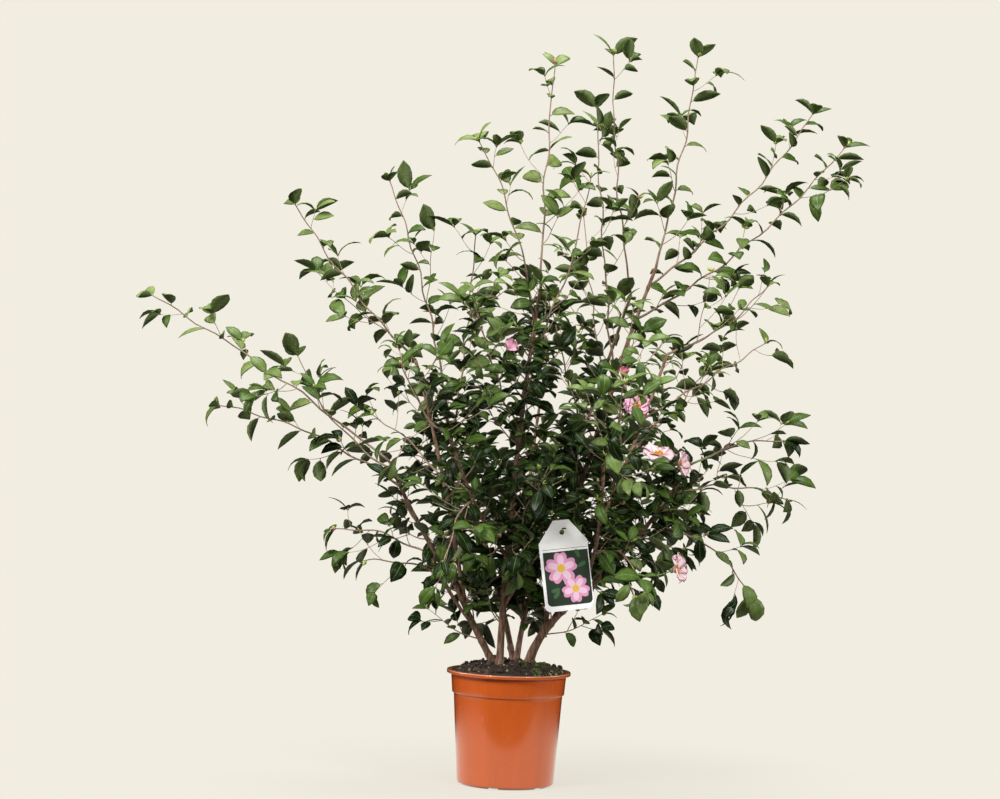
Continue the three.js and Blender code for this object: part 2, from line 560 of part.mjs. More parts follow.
const plant = new THREE.Group();
const MATERIALS = {
  pot: new THREE.MeshStandardMaterial({ color: '#c4602f', roughness: 0.42, metalness: 0 }),
  soil: new THREE.MeshStandardMaterial({ color: '#2a211b', roughness: 0.95, metalness: 0 }),
  bark: new THREE.MeshStandardMaterial({ color: '#76594a', roughness: 0.8, metalness: 0 }),
  foliage: new THREE.MeshStandardMaterial({ color: '#274d22', roughness: 0.4, metalness: 0 }),
  label: new THREE.MeshStandardMaterial({ color: '#efefe9', roughness: 0.35, metalness: 0 }),
};

function place(name, solid, material) {
  const mesh = new THREE.Mesh(geometryOf(solid), MATERIALS[material]);
  mesh.name = name;
  plant.add(mesh);
}

place('pot', potSolid(), 'pot');
place('soil', soilSolid(), 'soil');
[...limbs.values()].forEach((limb, i, all) => {
  const whole = limbSolid(limb);
  place(limb.name, i ? largest(whole.subtract(clearOf(all.slice(0, i)))) : whole, 'bark');
});
masses.forEach((mass, index) => place(`foliage_${mass.name}`, massSolid(mass, index), 'foliage'));
place('label', labelSolid(), 'label');

export default plant;
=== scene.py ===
"""A camellia shrub in its nursery pot: bark, shoots, leaves, blossom, pot, soil and label.

The limbs and the masses of foliage have the sizes of the construction model and grow on by its rule,
down to finer shoots and leaves of their real size. Everything is in metres, in the model's own frame.
"""

import functools
import math
from typing import NamedTuple

import bmesh
import bpy
import numpy as np
from bpy.props import FloatProperty, FloatVectorProperty, IntProperty, PointerProperty
from bpy.types import Operator, Panel, PropertyGroup
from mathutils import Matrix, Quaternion, Vector


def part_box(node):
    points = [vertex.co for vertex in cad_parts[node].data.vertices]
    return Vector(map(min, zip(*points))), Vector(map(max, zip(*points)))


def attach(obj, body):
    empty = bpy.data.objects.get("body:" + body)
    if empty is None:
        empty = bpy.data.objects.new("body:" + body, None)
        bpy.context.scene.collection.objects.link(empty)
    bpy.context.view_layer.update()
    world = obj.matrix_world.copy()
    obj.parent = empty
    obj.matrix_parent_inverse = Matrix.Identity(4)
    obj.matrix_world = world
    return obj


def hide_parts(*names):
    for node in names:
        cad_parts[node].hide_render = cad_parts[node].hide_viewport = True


bl_info = {
    "name": "Camellia shrub in a pot",
    "version": (1, 0, 0),
    "blender": (4, 5, 0),
    "location": "3D View > Sidebar > Camellia",
    "description": "Grows a camellia shrub with its pot, soil and label round its construction model",
    "category": "Add Mesh",
}

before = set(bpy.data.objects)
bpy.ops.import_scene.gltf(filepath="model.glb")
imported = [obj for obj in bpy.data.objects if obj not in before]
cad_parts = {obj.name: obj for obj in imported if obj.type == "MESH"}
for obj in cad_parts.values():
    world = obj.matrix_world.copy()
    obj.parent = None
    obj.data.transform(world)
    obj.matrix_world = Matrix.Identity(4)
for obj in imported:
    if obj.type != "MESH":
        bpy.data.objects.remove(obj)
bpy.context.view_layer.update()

# ---------------------------------------------------------------- the plant's limbs and masses


class Limb(NamedTuple):
    """A stem, with the place of its foot, or a bough, with the limb that it leaves and where.

    Its spurs stand closer than usual where leafy is over 1."""

    name: str
    start: object
    at: float
    tip: tuple
    bow: tuple
    radii: tuple
    leafy: float = 1.0


class Mass(NamedTuple):
    """A mass of foliage: its kind, the limb that it grows on and where, and its stem's tip and bow.

    A fork is a share along that stem and a tip. The bare share of the stem has no side twigs. Its
    leaves stand closer than its kind's where leafy is over 1, and are lighter by fresh."""

    name: str
    kind: str
    on: str
    at: float
    tip: tuple
    bow: tuple
    fork: tuple = ()
    bare: float = None
    leafy: float = 1.0
    fresh: float = 0.0


class Kind(NamedTuple):
    """What a mass of one kind has: gaps between twigs and leaves, its reach, and sizes.

    Its finer shoots go as far as a share of each twig."""

    twig_gap: float
    reach: float
    bare: float
    radius: float
    shoot_gap: float
    shoot_reach: float
    shoot_last: float
    leaf_gap: float
    leaf: float


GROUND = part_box("stem_left")[0].z
LIMBS = (
    Limb("stem_left", (-0.024, -0.012), 0, (-0.105, -0.04, 0.371), (-0.003, 0, 0), (0.0064, 0.005), 1.2),
    Limb("stem_centre", (-0.018, -0.036), 0, (0.033, -0.095, 0.919),
         (-0.01, -0.012, 0), (0.0066, 0.003), 1.45),
    Limb("stem_rear", (0.01, 0.026), 0, (-0.084, 0.07, 0.519), (0.008, 0.006, 0), (0.0052, 0.004), 1.4),
    Limb("stem_right", (0.034, 0.002), 0, (0.126, -0.025, 0.353), (-0.016, 0, 0.003), (0.0084, 0.0062)),
    Limb("stem_mid", (0.012, 0.005), 0, (0.052, 0.05, 0.413), (-0.005, 0, 0), (0.0052, 0.0044), 1.4),
    Limb("bough_far_left", "stem_left", 1, (-0.228, -0.13, 0.59),
         (-0.008, -0.006, 0), (0.0046, 0.0031), 0.8),
    Limb("bough_left", "stem_left", 0.72, (-0.191, -0.06, 0.778),
         (0.004, 0.012, 0.01), (0.0042, 0.0027), 0.7),
    Limb("bough_low_left", "stem_left", 0.5, (-0.15, -0.104, 0.424),
         (-0.004, -0.01, -0.004), (0.0032, 0.0024), 0.35),
    Limb("bough_rear_left", "stem_rear", 1, (-0.14, 0.09, 0.72), (-0.008, 0, 0), (0.0038, 0.0027), 1.7),
    Limb("bough_back_left", "stem_rear", 0.75, (-0.129, 0.24, 0.64),
         (-0.006, 0.01, -0.02), (0.0036, 0.0026)),
    Limb("bough_upright", "stem_mid", 1, (0.182, 0.09, 0.747), (0.01, -0.01, 0), (0.0041, 0.0027), 1.1),
    Limb("bough_top", "stem_mid", 0.75, (0.212, 0.17, 0.925), (0, 0.055, 0), (0.004, 0.0028), 0.85),
    Limb("bough_back", "stem_mid", 0.45, (0.044, 0.27, 0.703),
         (-0.01, 0.03, -0.025), (0.0039, 0.0027), 1.1),
    Limb("bough_tall_right", "stem_right", 0.45, (0.248, 0.01, 0.967),
         (-0.014, 0.01, 0), (0.0052, 0.0031), 1.35),
    Limb("bough_right", "stem_right", 0.78, (0.268, -0.09, 0.804),
         (0.006, -0.008, 0), (0.0044, 0.0028), 1.15),
    Limb("bough_low_right", "stem_right", 1, (0.314, -0.11, 0.604),
         (0.01, 0, -0.006), (0.005, 0.0029), 2.0),
    Limb("bough_back_right", "stem_right", 0.62, (0.242, 0.25, 0.652),
         (0, 0.02, -0.02), (0.0042, 0.0027), 1.1),
    Limb("bough_front_right", "stem_right", 0.9, (0.15, -0.28, 0.6),
         (0.014, -0.02, -0.026), (0.004, 0.0027)),
    Limb("bough_front_left", "stem_centre", 0.3, (-0.118, -0.28, 0.636),
         (0, -0.014, -0.022), (0.0034, 0.0025)),
    Limb("label_twig", "stem_centre", 0.16, (0.09, -0.204, 0.485), (0.016, 0, 0.04), (0.0022, 0.0015)),
)
MASSES = (
    Mass("far_left", "shoot", "bough_far_left", 1, (-0.667, -0.17, 0.877), (-0.006, 0, 0.016),
         fork=(0.42, (-0.47, -0.23, 0.7)), leafy=0.65),
    Mass("low_left", "shoot", "bough_far_left", 0.8, (-0.554, -0.06, 0.683), (0, 0.02, 0.024), leafy=0.9),
    Mass("left_spur", "shoot", "bough_far_left", 0.94, (-0.414, 0, 0.783), (-0.016, 0.01, -0.022),
         leafy=0.6),
    Mass("left_mid", "bushy", "bough_left", 0.5, (-0.276, 0.1, 0.676), (0, 0.012, 0.01), leafy=0.4),
    Mass("upper_left", "shoot", "bough_left", 1, (-0.421, -0.1, 1.056), (-0.006, 0, -0.01),
         fork=(0.2, (-0.386, 0.01, 0.94)), fresh=0.2, leafy=0.9),
    Mass("tall_left", "shoot", "bough_rear_left", 1, (-0.259, 0.08, 1.124), (0.012, 0, 0),
         fork=(0.42, (-0.168, 0.02, 1.024)), leafy=0.8),
    Mass("crown_left", "bushy", "bough_rear_left", 0.55, (-0.09, 0.04, 1.023), (0.004, 0, 0),
         bare=0.3, leafy=0.7),
    Mass("slant_left", "shoot", "stem_centre", 0.9, (-0.089, -0.15, 1.176), (0.012, -0.006, 0.016),
         fresh=0.1, leafy=0.9),
    Mass("tall_centre", "shoot", "stem_centre", 1, (0.046, -0.07, 1.332), (-0.004, 0.008, 0), leafy=0.85),
    Mass("inner_upright", "shoot", "stem_centre", 0.82, (0.115, -0.17, 1.117), (0.012, -0.02, -0.014),
         leafy=0.5),
    Mass("upright_mid", "shoot", "bough_upright", 1, (0.13, 0.09, 1.279), (-0.004, 0, 0), leafy=0.85),
    Mass("core_high", "dense", "bough_upright", 0.55, (0.05, 0.01, 0.9), (0, 0, 0.01), bare=0.3, leafy=0.5),
    Mass("top_shoot", "shoot", "bough_top", 1, (0.161, 0.15, 1.389), (-0.01, 0, 0), leafy=0.65),
    Mass("tall_right", "shoot", "bough_tall_right", 1, (0.313, 0, 1.366), (0.006, 0, 0), leafy=0.95,
         fresh=0.1, bare=0.02),
    Mass("upper_right", "shoot", "bough_tall_right", 0.95, (0.54, 0.06, 1.276),
         (0.014, 0.008, -0.016), leafy=1.05, bare=0.02, fresh=-0.1),
    Mass("far_right", "shoot", "bough_tall_right", 0.86, (0.586, -0.06, 1.2), (0.01, -0.01, -0.024),
         fork=(0.76, (0.58, -0.13, 1.13)), leafy=1.15, bare=0.02, fresh=-0.12),
    Mass("right_high", "bushy", "bough_right", 1, (0.457, -0.02, 0.943), (0.014, 0, -0.01),
         fork=(0.22, (0.342, -0.09, 0.96)), leafy=0.45),
    Mass("right_mid", "bushy", "bough_right", 0.75, (0.466, 0.08, 0.838), (0.008, 0.01, 0.004), leafy=0.4),
    Mass("right_low", "bushy", "bough_low_right", 1, (0.49, -0.06, 0.653), (0, 0, 0.014), leafy=0.5,
         bare=0.02),
    Mass("right_tip", "bushy", "bough_low_right", 0.8, (0.517, 0.06, 0.541), (0, 0.016, 0.02),
         leafy=1.1, bare=0.02),
    Mass("droop_right", "shoot", "bough_low_right", 0.6, (0.43, -0.13, 0.372), (0.022, -0.014, 0.016),
         fresh=0.3),
    Mass("bottom_right", "bushy", "bough_front_right", 0.5, (0.232, -0.25, 0.38), (0.01, 0, 0.024),
         fresh=0.5, leafy=0.7),
    Mass("front_right", "dense", "bough_front_right", 1, (0.17, -0.5, 0.74), (0, -0.01, -0.02), leafy=0.75),
    Mass("front_high", "dense", "bough_right", 0.45, (0.19, -0.33, 0.88), (0, -0.02, -0.016), leafy=0.55),
    Mass("front_left", "dense", "bough_front_left", 1, (-0.2, -0.49, 0.76), (0, -0.01, -0.02), leafy=0.5),
    Mass("front_low", "bushy", "bough_front_left", 0.6, (-0.12, -0.4, 0.43), (0, -0.01, 0.024)),
    Mass("front_centre", "dense", "stem_centre", 0.62, (-0.09, -0.3, 0.9), (0, -0.014, -0.022), leafy=1.05),
    Mass("back_left", "dense", "bough_back_left", 1, (-0.23, 0.45, 0.83), (0, 0.01, -0.02), leafy=0.45),
    Mass("back_high", "dense", "bough_top", 0.72, (0.12, 0.33, 1.09), (0, 0.02, -0.02), leafy=0.3),
    Mass("back", "dense", "bough_back", 1, (0.03, 0.5, 0.9), (0, 0.01, -0.02), leafy=0.5),
    Mass("back_low", "bushy", "bough_back", 0.6, (0.04, 0.44, 0.52), (0, 0.01, 0.02)),
    Mass("back_right", "dense", "bough_back_right", 1, (0.39, 0.43, 0.82), (0.01, 0.01, -0.02), leafy=0.65),
    Mass("right_rear", "bushy", "bough_back_right", 0.6, (0.36, 0.33, 0.48), (0.01, 0.01, 0.02), leafy=1.2),
    Mass("core_right", "dense", "bough_low_right", 0.35, (0.3, 0.04, 0.48), (0, 0.01, 0.01), leafy=0.75),
    Mass("core_front", "dense", "stem_centre", 0.32, (0.04, -0.26, 0.59), (0, -0.01, -0.016)),
    Mass("low_side", "bushy", "bough_low_left", 1, (-0.33, -0.04, 0.463), (0, 0, 0.014), leafy=0.7),
    Mass("low_front", "bushy", "bough_low_left", 0.7, (-0.264, -0.19, 0.415), (0, -0.01, 0.014), leafy=0.3),
)
KINDS = {
    "shoot": Kind(0.092, 0.092, 0.16, 0.0026, 0.12, 0.055, 0.4, 0.027, 0.052),
    "bushy": Kind(0.048, 0.125, 0.1, 0.0026, 0.11, 0.062, 0.7, 0.034, 0.048),
    "dense": Kind(0.062, 0.155, 0.06, 0.0028, 0.046, 0.07, 0.9, 0.0235, 0.044),
    "spur": Kind(0.042, 0.14, 0.1, 0.0016, 0.045, 0.065, 0.9, 0.0185, 0.041),
}
SPUR = {"lowest": 0.255, "first": 0.1, "last": 0.9, "inner": 0.1, "outer": 0.18, "short": 0.5}

# The rule of growth. Angles are in degrees, and places along a twig are shares of its length.
SEED = 7919
TURN = {"first": 30, "step": 120, "spread": 50}
TWIG = {
    "lean": 50, "lean_spread": 16, "taper": 0.6, "spread": 0.5, "lift": 0.22, "sag": 0.07, "last": 0.95,
    "jitter": 0.4, "thickness": 0.5, "fork_thickness": 0.58, "tip_radius": 0.0005, "probes": (0.45, 0.7, 1),
}
SHOOT = {"first_on_main": 0.03, "first_on_side": 0.15, "jitter": 0.5, "radii": (0.0009, 0.0006)}
LEAF = {
    "forward": 0.55, "level": 0.6, "outwards": 0.4, "roll": 2.6, "spread": 0.6, "bend": 30,
    "bend_spread": 80, "first": 0.22, "last": 0.985, "near_tip": 0.9, "at_tip": 0.94, "shorter": 0.12,
    "low": 1.1, "loss": 0.06, "heights": (0.35, 1.25), "tips": 0.35, "hang": -0.35, "rise": 0.6,
    "slopes": (-0.1, 0.7), "tip_rise": 0.25, "apart": 0.22, "off_twigs": 0.004,
}
# Painted shade: sprays near the heart of the crown, where shade falls, draw deeper greens, and those
# further out lighter ones.
TINT = {
    "heart": (0.05, 0, 0.44), "near": 0.24, "far": 0.68, "inner": 0.4, "gain": 0.8,
    "steps": (0.34, 0.76, 1.25),
}
STRETCH = {"limb": 0.08, "stem": 0.075, "twig": 0.06}
TWIG_SPACE = 0.005
LEAF_SPACE = -0.014
LIMB_MARGIN = 0.006
TWIG_MARGIN = 0.009
LABEL = {
    "width": 0.087, "height": 0.122, "neck": 0.039, "hole_drop": 0.022, "hole_radius": 0.0045,
    "thick": 0.0009, "tilt": 8, "backwards": 5, "hang_at": 0.9, "margin": 0.009,
}

# ---------------------------------------------------------------- vectors and curves

UP = np.array([0.0, 0.0, 1.0])
WAVE = {"length": 0.15, "stem": 0.003, "twig": 0.0015, "turn": 9000, "across": 1.6}
RIPPLE = {"octaves": 3, "sines": 5, "height": 0.4, "scale": 1.6}
STEM_TAPER = 0.45


def unit(vectors):
    """The vectors at length one."""
    return vectors / np.maximum(np.linalg.norm(vectors, axis=-1, keepdims=True), 1e-12)


def smooth_step(low, high, value):
    """0 below low and 1 above high, with an even S-curve between them."""
    share = np.clip((value - low) / (high - low), 0, 1)
    return share * share * (3 - 2 * share)


def radial(axis, degrees):
    """The direction that leaves an axis at a right angle, turned round it by so many degrees."""
    upright = math.hypot(*axis[:2]) <= 1e-6
    level = np.array([1.0, 0, 0]) if upright else unit(np.array([axis[1], -axis[0], 0.0]))
    turn = math.radians(degrees)
    return level * math.cos(turn) + np.cross(level, axis) * math.sin(turn)


class Curve:
    """A quadratic curve from start to tip, whose middle lies off the straight line by its bow.

    It may wave a little from side to side, and it thins by t to the power of its taper."""

    def __init__(self, start, tip, bow, radii, wave=0.0, taper=1.0):
        self.start, self.tip = np.array(start, float), np.array(tip, float)
        self.control = (self.start + self.tip) / 2 + 2 * np.array(bow, float)
        self.length = float(np.linalg.norm(self.tip - self.start))
        self.radii, self.taper = radii, taper
        axis = unit(self.tip - self.start)
        turn = self.length * WAVE["turn"]
        self.wave = wave * np.stack([radial(axis, turn), radial(axis, turn + 90)])

    def point(self, t):
        """(1 - t)^2 start + 2 t (1 - t) control + t^2 tip, for one share t or an array of them.

        The wave adds two sines along the length, across each other, that die out at the ends."""
        t = np.asarray(t, float)[..., None]
        bends = self.length / WAVE["length"] * 2 * math.pi * t
        wave = self.wave[0] * np.sin(bends) + self.wave[1] * np.sin(WAVE["across"] * bends + 1)
        plain = self.start * (1 - t) ** 2 + self.control * 2 * t * (1 - t) + self.tip * t * t
        return plain + wave * np.minimum(1, 6 * t * (1 - t))

    def tangent(self, t):
        """The direction in which the curve runs at t."""
        t = np.asarray(t, float)[..., None]
        return unit((self.control - self.start) * (1 - t) + (self.tip - self.control) * t)

    def radius(self, t):
        """The radius at t, which goes from the first to the last by t to the power of the taper."""
        return self.radii[0] + (self.radii[1] - self.radii[0]) * t**self.taper

    def stretches(self, size):
        """The curve as straight stretches of about that size: their starts and their ends."""
        points = self.point(np.linspace(0, 1, max(1, round(self.length / size)) + 1))
        return points[:-1], points[1:]


def distances(points, starts, ends):
    """The distance from each point to each straight stretch, as an array (point, stretch)."""
    along = ends - starts
    offset = points[:, None] - starts
    share = np.clip((offset * along).sum(-1) / (along * along).sum(-1), 0, 1)
    return np.linalg.norm(offset - share[..., None] * along, axis=-1)


def seeded(seed):
    """Numbers from 0 to 1 that are the same for the same seed: a state is stepped and its bits mixed."""
    mask = 0xFFFFFFFF
    state = seed & mask
    while True:
        state = (state + 0x6D2B79F5) & mask
        mixed = ((state ^ (state >> 15)) * (state | 1)) & mask
        mixed ^= (mixed + (mixed ^ (mixed >> 7)) * (mixed | 61)) & mask
        yield (mixed ^ (mixed >> 14)) / (mask + 1)


def ripples(points, scale, seed):
    """Smooth noise from about -1 to 1: sines of the place along chance directions, finer and weaker."""
    chance = np.random.default_rng(seed)
    total = np.zeros(points.shape[:-1])
    for octave in range(RIPPLE["octaves"]):
        for _ in range(RIPPLE["sines"]):
            way = unit(chance.normal(size=3)) * chance.uniform(0.7, 1.3) * 2 * math.pi * 2**octave / scale
            total += np.sin(points @ way + chance.uniform(0, 2 * math.pi)) * RIPPLE["height"] / 2**octave
    return total / RIPPLE["scale"]


# ---------------------------------------------------------------- growth


class Leaf(NamedTuple):
    """A leaf: its root, the way it sets out, its upper side there, its length and its tint."""

    root: np.ndarray
    way: np.ndarray
    normal: np.ndarray
    length: float
    bend: float
    tint: int


class Space:
    """Where the limbs and the masses lie, and which places are free for a mass to grow in."""

    def __init__(self):
        self.limbs = {}
        for limb in LIMBS:
            foot = len(limb.start) == 2
            start = (*limb.start, GROUND) if foot else self.limbs[limb.start].point(limb.at)
            self.limbs[limb.name] = Curve(start, limb.tip, limb.bow, limb.radii)
        self.stems = []
        for mass in MASSES:
            radii = (KINDS[mass.kind].radius, 2 * TWIG["tip_radius"])
            start = self.limbs[mass.on].point(mass.at)
            self.stems.append(Curve(start, mass.tip, mass.bow, radii, WAVE["stem"], STEM_TAPER))
        cut = [curve.stretches(STRETCH["limb"]) for curve in self.limbs.values()]
        self.limb_starts, self.limb_ends = (np.concatenate(side) for side in zip(*cut))
        self.limb_radii = np.concatenate([
            np.full(len(starts), curve.radii[0]) for curve, (starts, _) in zip(self.limbs.values(), cut)
        ])
        cut = [curve.stretches(STRETCH["stem"]) for curve in self.stems]
        self.stem_starts, self.stem_ends = (np.concatenate(side) for side in zip(*cut))
        self.firsts = np.cumsum([0] + [len(starts) for starts, _ in cut[:-1]])
        self.hang = self.limbs["label_twig"].point(LABEL["hang_at"])
        self.bloom_radii = BLOOM_SPACE["size"] * np.array([bloom.radius for bloom in BLOOMS])
        facing = unit(np.array([bloom.facing for bloom in BLOOMS], float))
        ahead = facing * self.bloom_radii[:, None] * BLOOM_SPACE["ahead"]
        self.bloom_spaces = np.array([bloom.centre for bloom in BLOOMS]) + ahead

    def off_label(self, points):
        """Whether each point is clear of the label and of the space in front of it."""
        x, y, z = (points - self.hang).T
        tilt = math.radians(LABEL["tilt"])
        across = x * math.cos(tilt) + z * math.sin(tilt)
        down = x * math.sin(tilt) - z * math.cos(tilt)
        lowest = LABEL["height"] + LABEL["neck"] - LABEL["hole_drop"] + LABEL["margin"]
        beside = np.abs(across) > LABEL["width"] / 2 + LABEL["margin"]
        return (y > LABEL["margin"]) | beside | (down > lowest) | (down < -LABEL["hole_drop"])

    def off_blooms(self, points):
        """Whether the points are clear of every bloom and of the space that it opens into."""
        away = np.linalg.norm(points[:, None] - self.bloom_spaces, axis=-1)
        return bool((away > self.bloom_radii).all())

    def is_free(self, points, index, margin):
        """Whether all the points are off the limbs and the label, and nearer to this mass's stem."""
        reach = distances(points, self.limb_starts, self.limb_ends)
        if not (reach > self.limb_radii + LIMB_MARGIN).all() or not self.off_label(points).all():
            return False
        if index >= len(self.stems):
            return True
        by_stem = distances(points, self.stem_starts, self.stem_ends)
        by_stem = np.minimum.reduceat(by_stem, self.firsts, axis=1)
        own = by_stem[:, index].copy()
        by_stem[:, index] = np.inf
        return bool((own + margin < by_stem.min(1)).all())


def side_twig(stem, t, turn, reach, chances):
    """A twig that leaves its stem at t, and whose tip turns up."""
    axis = stem.tangent(t)
    angle = math.radians(TWIG["lean"] + TWIG["lean_spread"] * (chances[0] - 0.5))
    way = axis * math.cos(angle) + radial(axis, turn) * math.sin(angle)
    length = reach * (1 - TWIG["taper"] * t) * (1 + TWIG["spread"] * (chances[1] - 0.5))
    root = stem.point(t)
    tip = root + unit(way + UP * TWIG["lift"]) * length
    radii = (TWIG["thickness"] * stem.radius(t), TWIG["tip_radius"])
    return Curve(root, tip, -UP * TWIG["sag"] * length, radii, WAVE["twig"])


def leaf_on(twig, t, turn, length, lift, chances):
    """A leaf that leaves its twig at t. Its upper side faces the sky and outwards, turned by chance.

    It points further forwards at the twig's tip, and the last digits of a chance give its bend."""
    axis, root = twig.tangent(t), twig.point(t)
    out = radial(axis, turn) * (1, 1, LEAF["level"])
    way = unit(axis * LEAF["forward"] * (2 if t > LEAF["at_tip"] else 1) + out + UP * lift)
    sky = UP + LEAF["outwards"] * unit(root * (1, 1, 0))
    flat = unit(sky - way * (sky @ way))
    normal = unit(flat + np.cross(flat, way) * LEAF["roll"] * (chances[0] - 0.5))
    size = length * (1 + LEAF["spread"] * (chances[1] - 0.5))
    bend = math.radians(LEAF["bend"] + LEAF["bend_spread"] * (chances[0] * 7 % 1))
    return Leaf(root, way, normal, size, bend, 0)


def leaf_probes(leaf):
    """Points at the middle and the tip of a leaf's blade, where it has bent down."""
    share = np.array([[0.5], [1.0]])
    angle = leaf.bend * share
    forward = np.sin(angle) / leaf.bend * leaf.length
    down = (1 - np.cos(angle)) / leaf.bend * leaf.length
    return leaf.root + leaf.way * forward - leaf.normal * down


class Grower:
    """Grows one mass, or the spurs of one limb: side twigs, finer shoots and leaves on its stem."""

    def __init__(self, space, index, stem, kind, bare, fork=(), leafy=1.0, fresh=0.0):
        self.space, self.index, self.stem, self.kind, self.fork = space, index, stem, KINDS[kind], fork
        self.leafy, self.fresh = leafy, fresh
        self.bare = self.kind.bare if bare is None else bare
        self.on_limb = kind == "spur"
        self.random = seeded((index + 1) * SEED)
        self.twigs, self.leaves = [], []
        self.mains = self.sides = 0
        self.starts, self.ends, self.owners = np.empty((0, 3)), np.empty((0, 3)), np.empty(0, int)

    def keep(self, twig):
        """Adds a twig and its straight stretches."""
        starts, ends = twig.stretches(STRETCH["twig"])
        self.starts = np.concatenate([self.starts, starts])
        self.ends = np.concatenate([self.ends, ends])
        self.owners = np.concatenate([self.owners, np.full(len(starts), len(self.twigs))])
        self.twigs.append(twig)

    def off_twigs(self, points, own, margin=TWIG_MARGIN):
        """Whether the points keep off every twig but their own."""
        others = self.owners != own
        if not others.any():
            return True
        return bool((distances(points, self.starts[others], self.ends[others]) > margin).all())

    def first_free(self, count, make, fits):
        """What is made in the first of three turns round its twig in which it fits, or None."""
        chances = [next(self.random), next(self.random)]
        turn = TURN["first"] + TURN["step"] * count + TURN["spread"] * (next(self.random) - 0.5)
        choices = (make(turn + i * TURN["step"], chances) for i in range(3))
        return next((made for made in choices if fits(made)), None)

    def grow_mains(self):
        """The stem of the mass and its fork."""
        self.keep(self.stem)
        if self.fork:
            at, tip = self.fork
            radii = (TWIG["fork_thickness"] * self.stem.radius(at), TWIG["tip_radius"])
            sag = -UP * TWIG["sag"] * self.kind.reach
            self.keep(Curve(self.stem.point(at), tip, sag, radii, WAVE["twig"]))
        self.mains = len(self.twigs)

    def twig_fits(self, owner):
        """A test of whether a new twig keeps to the mass's space and off the other twigs."""
        def fits(twig):
            probes = twig.point(np.array(TWIG["probes"], float))
            return self.space.is_free(probes, self.index, TWIG_SPACE) and self.off_twigs(probes, owner)
        return fits

    def grow_sides(self):
        """Side twigs, spread along each main with a little chance in their places."""
        for m in range(self.mains):
            main = self.twigs[m]
            gap = self.kind.twig_gap / (self.leafy if self.on_limb else 1)
            count = max(1 if m else 3, round(main.length * (1 - self.bare) / gap))
            for i in range(count):
                place = (i + 0.5 + TWIG["jitter"] * (next(self.random) - 0.5)) / count
                t = self.bare + (TWIG["last"] - self.bare) * place
                reach = self.kind.reach
                if self.on_limb:
                    away = math.hypot(*main.point(t)[:2])
                    reach *= 1 - (1 - SPUR["short"]) * smooth_step(SPUR["inner"], SPUR["outer"], away)
                made = self.first_free(
                    i + self.index + 1,
                    lambda turn, chances: side_twig(main, t, turn, reach, chances),
                    self.twig_fits(m),
                )
                if made:
                    if self.on_limb:
                        made.radii = (self.kind.radius, TWIG["tip_radius"])
                    self.keep(made)
        self.sides = len(self.twigs)

    def grow_shoots(self):
        """Short shoots, which the construction model leaves out, along the mains and the side twigs."""
        for w in range(1 if self.on_limb else 0, self.sides):
            twig = self.twigs[w]
            first = SHOOT["first_on_main"] if w < self.mains else SHOOT["first_on_side"]
            last = self.kind.shoot_last
            count = round(twig.length * (last - first) / self.kind.shoot_gap * self.leafy)
            for i in range(count):
                t = first + (last - first) * (i + 0.5 + SHOOT["jitter"] * (next(self.random) - 0.5)) / count
                made = self.first_free(
                    i + w,
                    lambda turn, chances: side_twig(twig, t, turn, self.kind.shoot_reach, chances),
                    self.twig_fits(w),
                )
                if made:
                    made.radii = SHOOT["radii"]
                    self.keep(made)

    def leaf_fits(self, owner):
        """A test of whether a new leaf keeps to the space, off the twigs and off the other leaves."""
        middles = np.array([leaf_probes(leaf)[0] for leaf in self.leaves]).reshape(-1, 3)

        def fits(leaf):
            probes = leaf_probes(leaf)
            near = np.linalg.norm(middles - probes[0], axis=1) < LEAF["apart"] * leaf.length
            return (
                not near.any()
                and self.space.off_blooms(probes)
                and self.space.is_free(probes, self.index, LEAF_SPACE)
                and self.off_twigs(probes[:1], owner, LEAF["off_twigs"])
            )
        return fits

    def grow_leaves(self, scale):
        """Leaves along every twig, with up to three round its tip. Low ones are larger and hang."""
        for w, twig in enumerate(self.twigs):
            if self.on_limb and w == 0:
                continue
            start = self.bare if w < self.mains else LEAF["first"]
            gap = self.kind.leaf_gap / self.leafy
            count = max(2, round(twig.length * (1 - start) / gap))
            tips = round(3 * min(1, LEAF["tips"] + self.leafy))
            tint = self.tint(twig.tip)
            for i in range(1, count + tips):
                t = min(LEAF["last"], start + (LEAF["last"] - start) * i / count)
                height = smooth_step(*LEAF["heights"], twig.point(t)[2])
                length = self.kind.leaf * scale * (LEAF["low"] - LEAF["loss"] * height)
                length *= 1 - LEAF["shorter"] * t
                slope = smooth_step(*LEAF["slopes"], twig.tangent(t)[2])
                lift = LEAF["hang"] + LEAF["rise"] * slope + LEAF["tip_rise"] * (t > LEAF["near_tip"])
                made = self.first_free(
                    i + w,
                    lambda turn, chances: leaf_on(twig, t, turn, length, lift, chances),
                    self.leaf_fits(w),
                )
                if made:
                    self.leaves.append(made._replace(tint=tint))

    def tint(self, tip):
        """The tint of a spray, partly painted shade: deep greens in the shaded heart of the crown, and
        fresher ones further out where the light falls.
        """
        away = np.linalg.norm(tip - TINT["heart"])
        out = TINT["gain"] * smooth_step(TINT["near"], TINT["far"], away)
        return int(np.searchsorted(TINT["steps"], next(self.random) - TINT["inner"] + out + self.fresh))

    def grow(self, scale):
        """All of it, in order."""
        self.grow_mains()
        self.grow_sides()
        self.grow_shoots()
        self.grow_leaves(scale)
        return self


# ---------------------------------------------------------------- surfaces


WELD = 1e-6


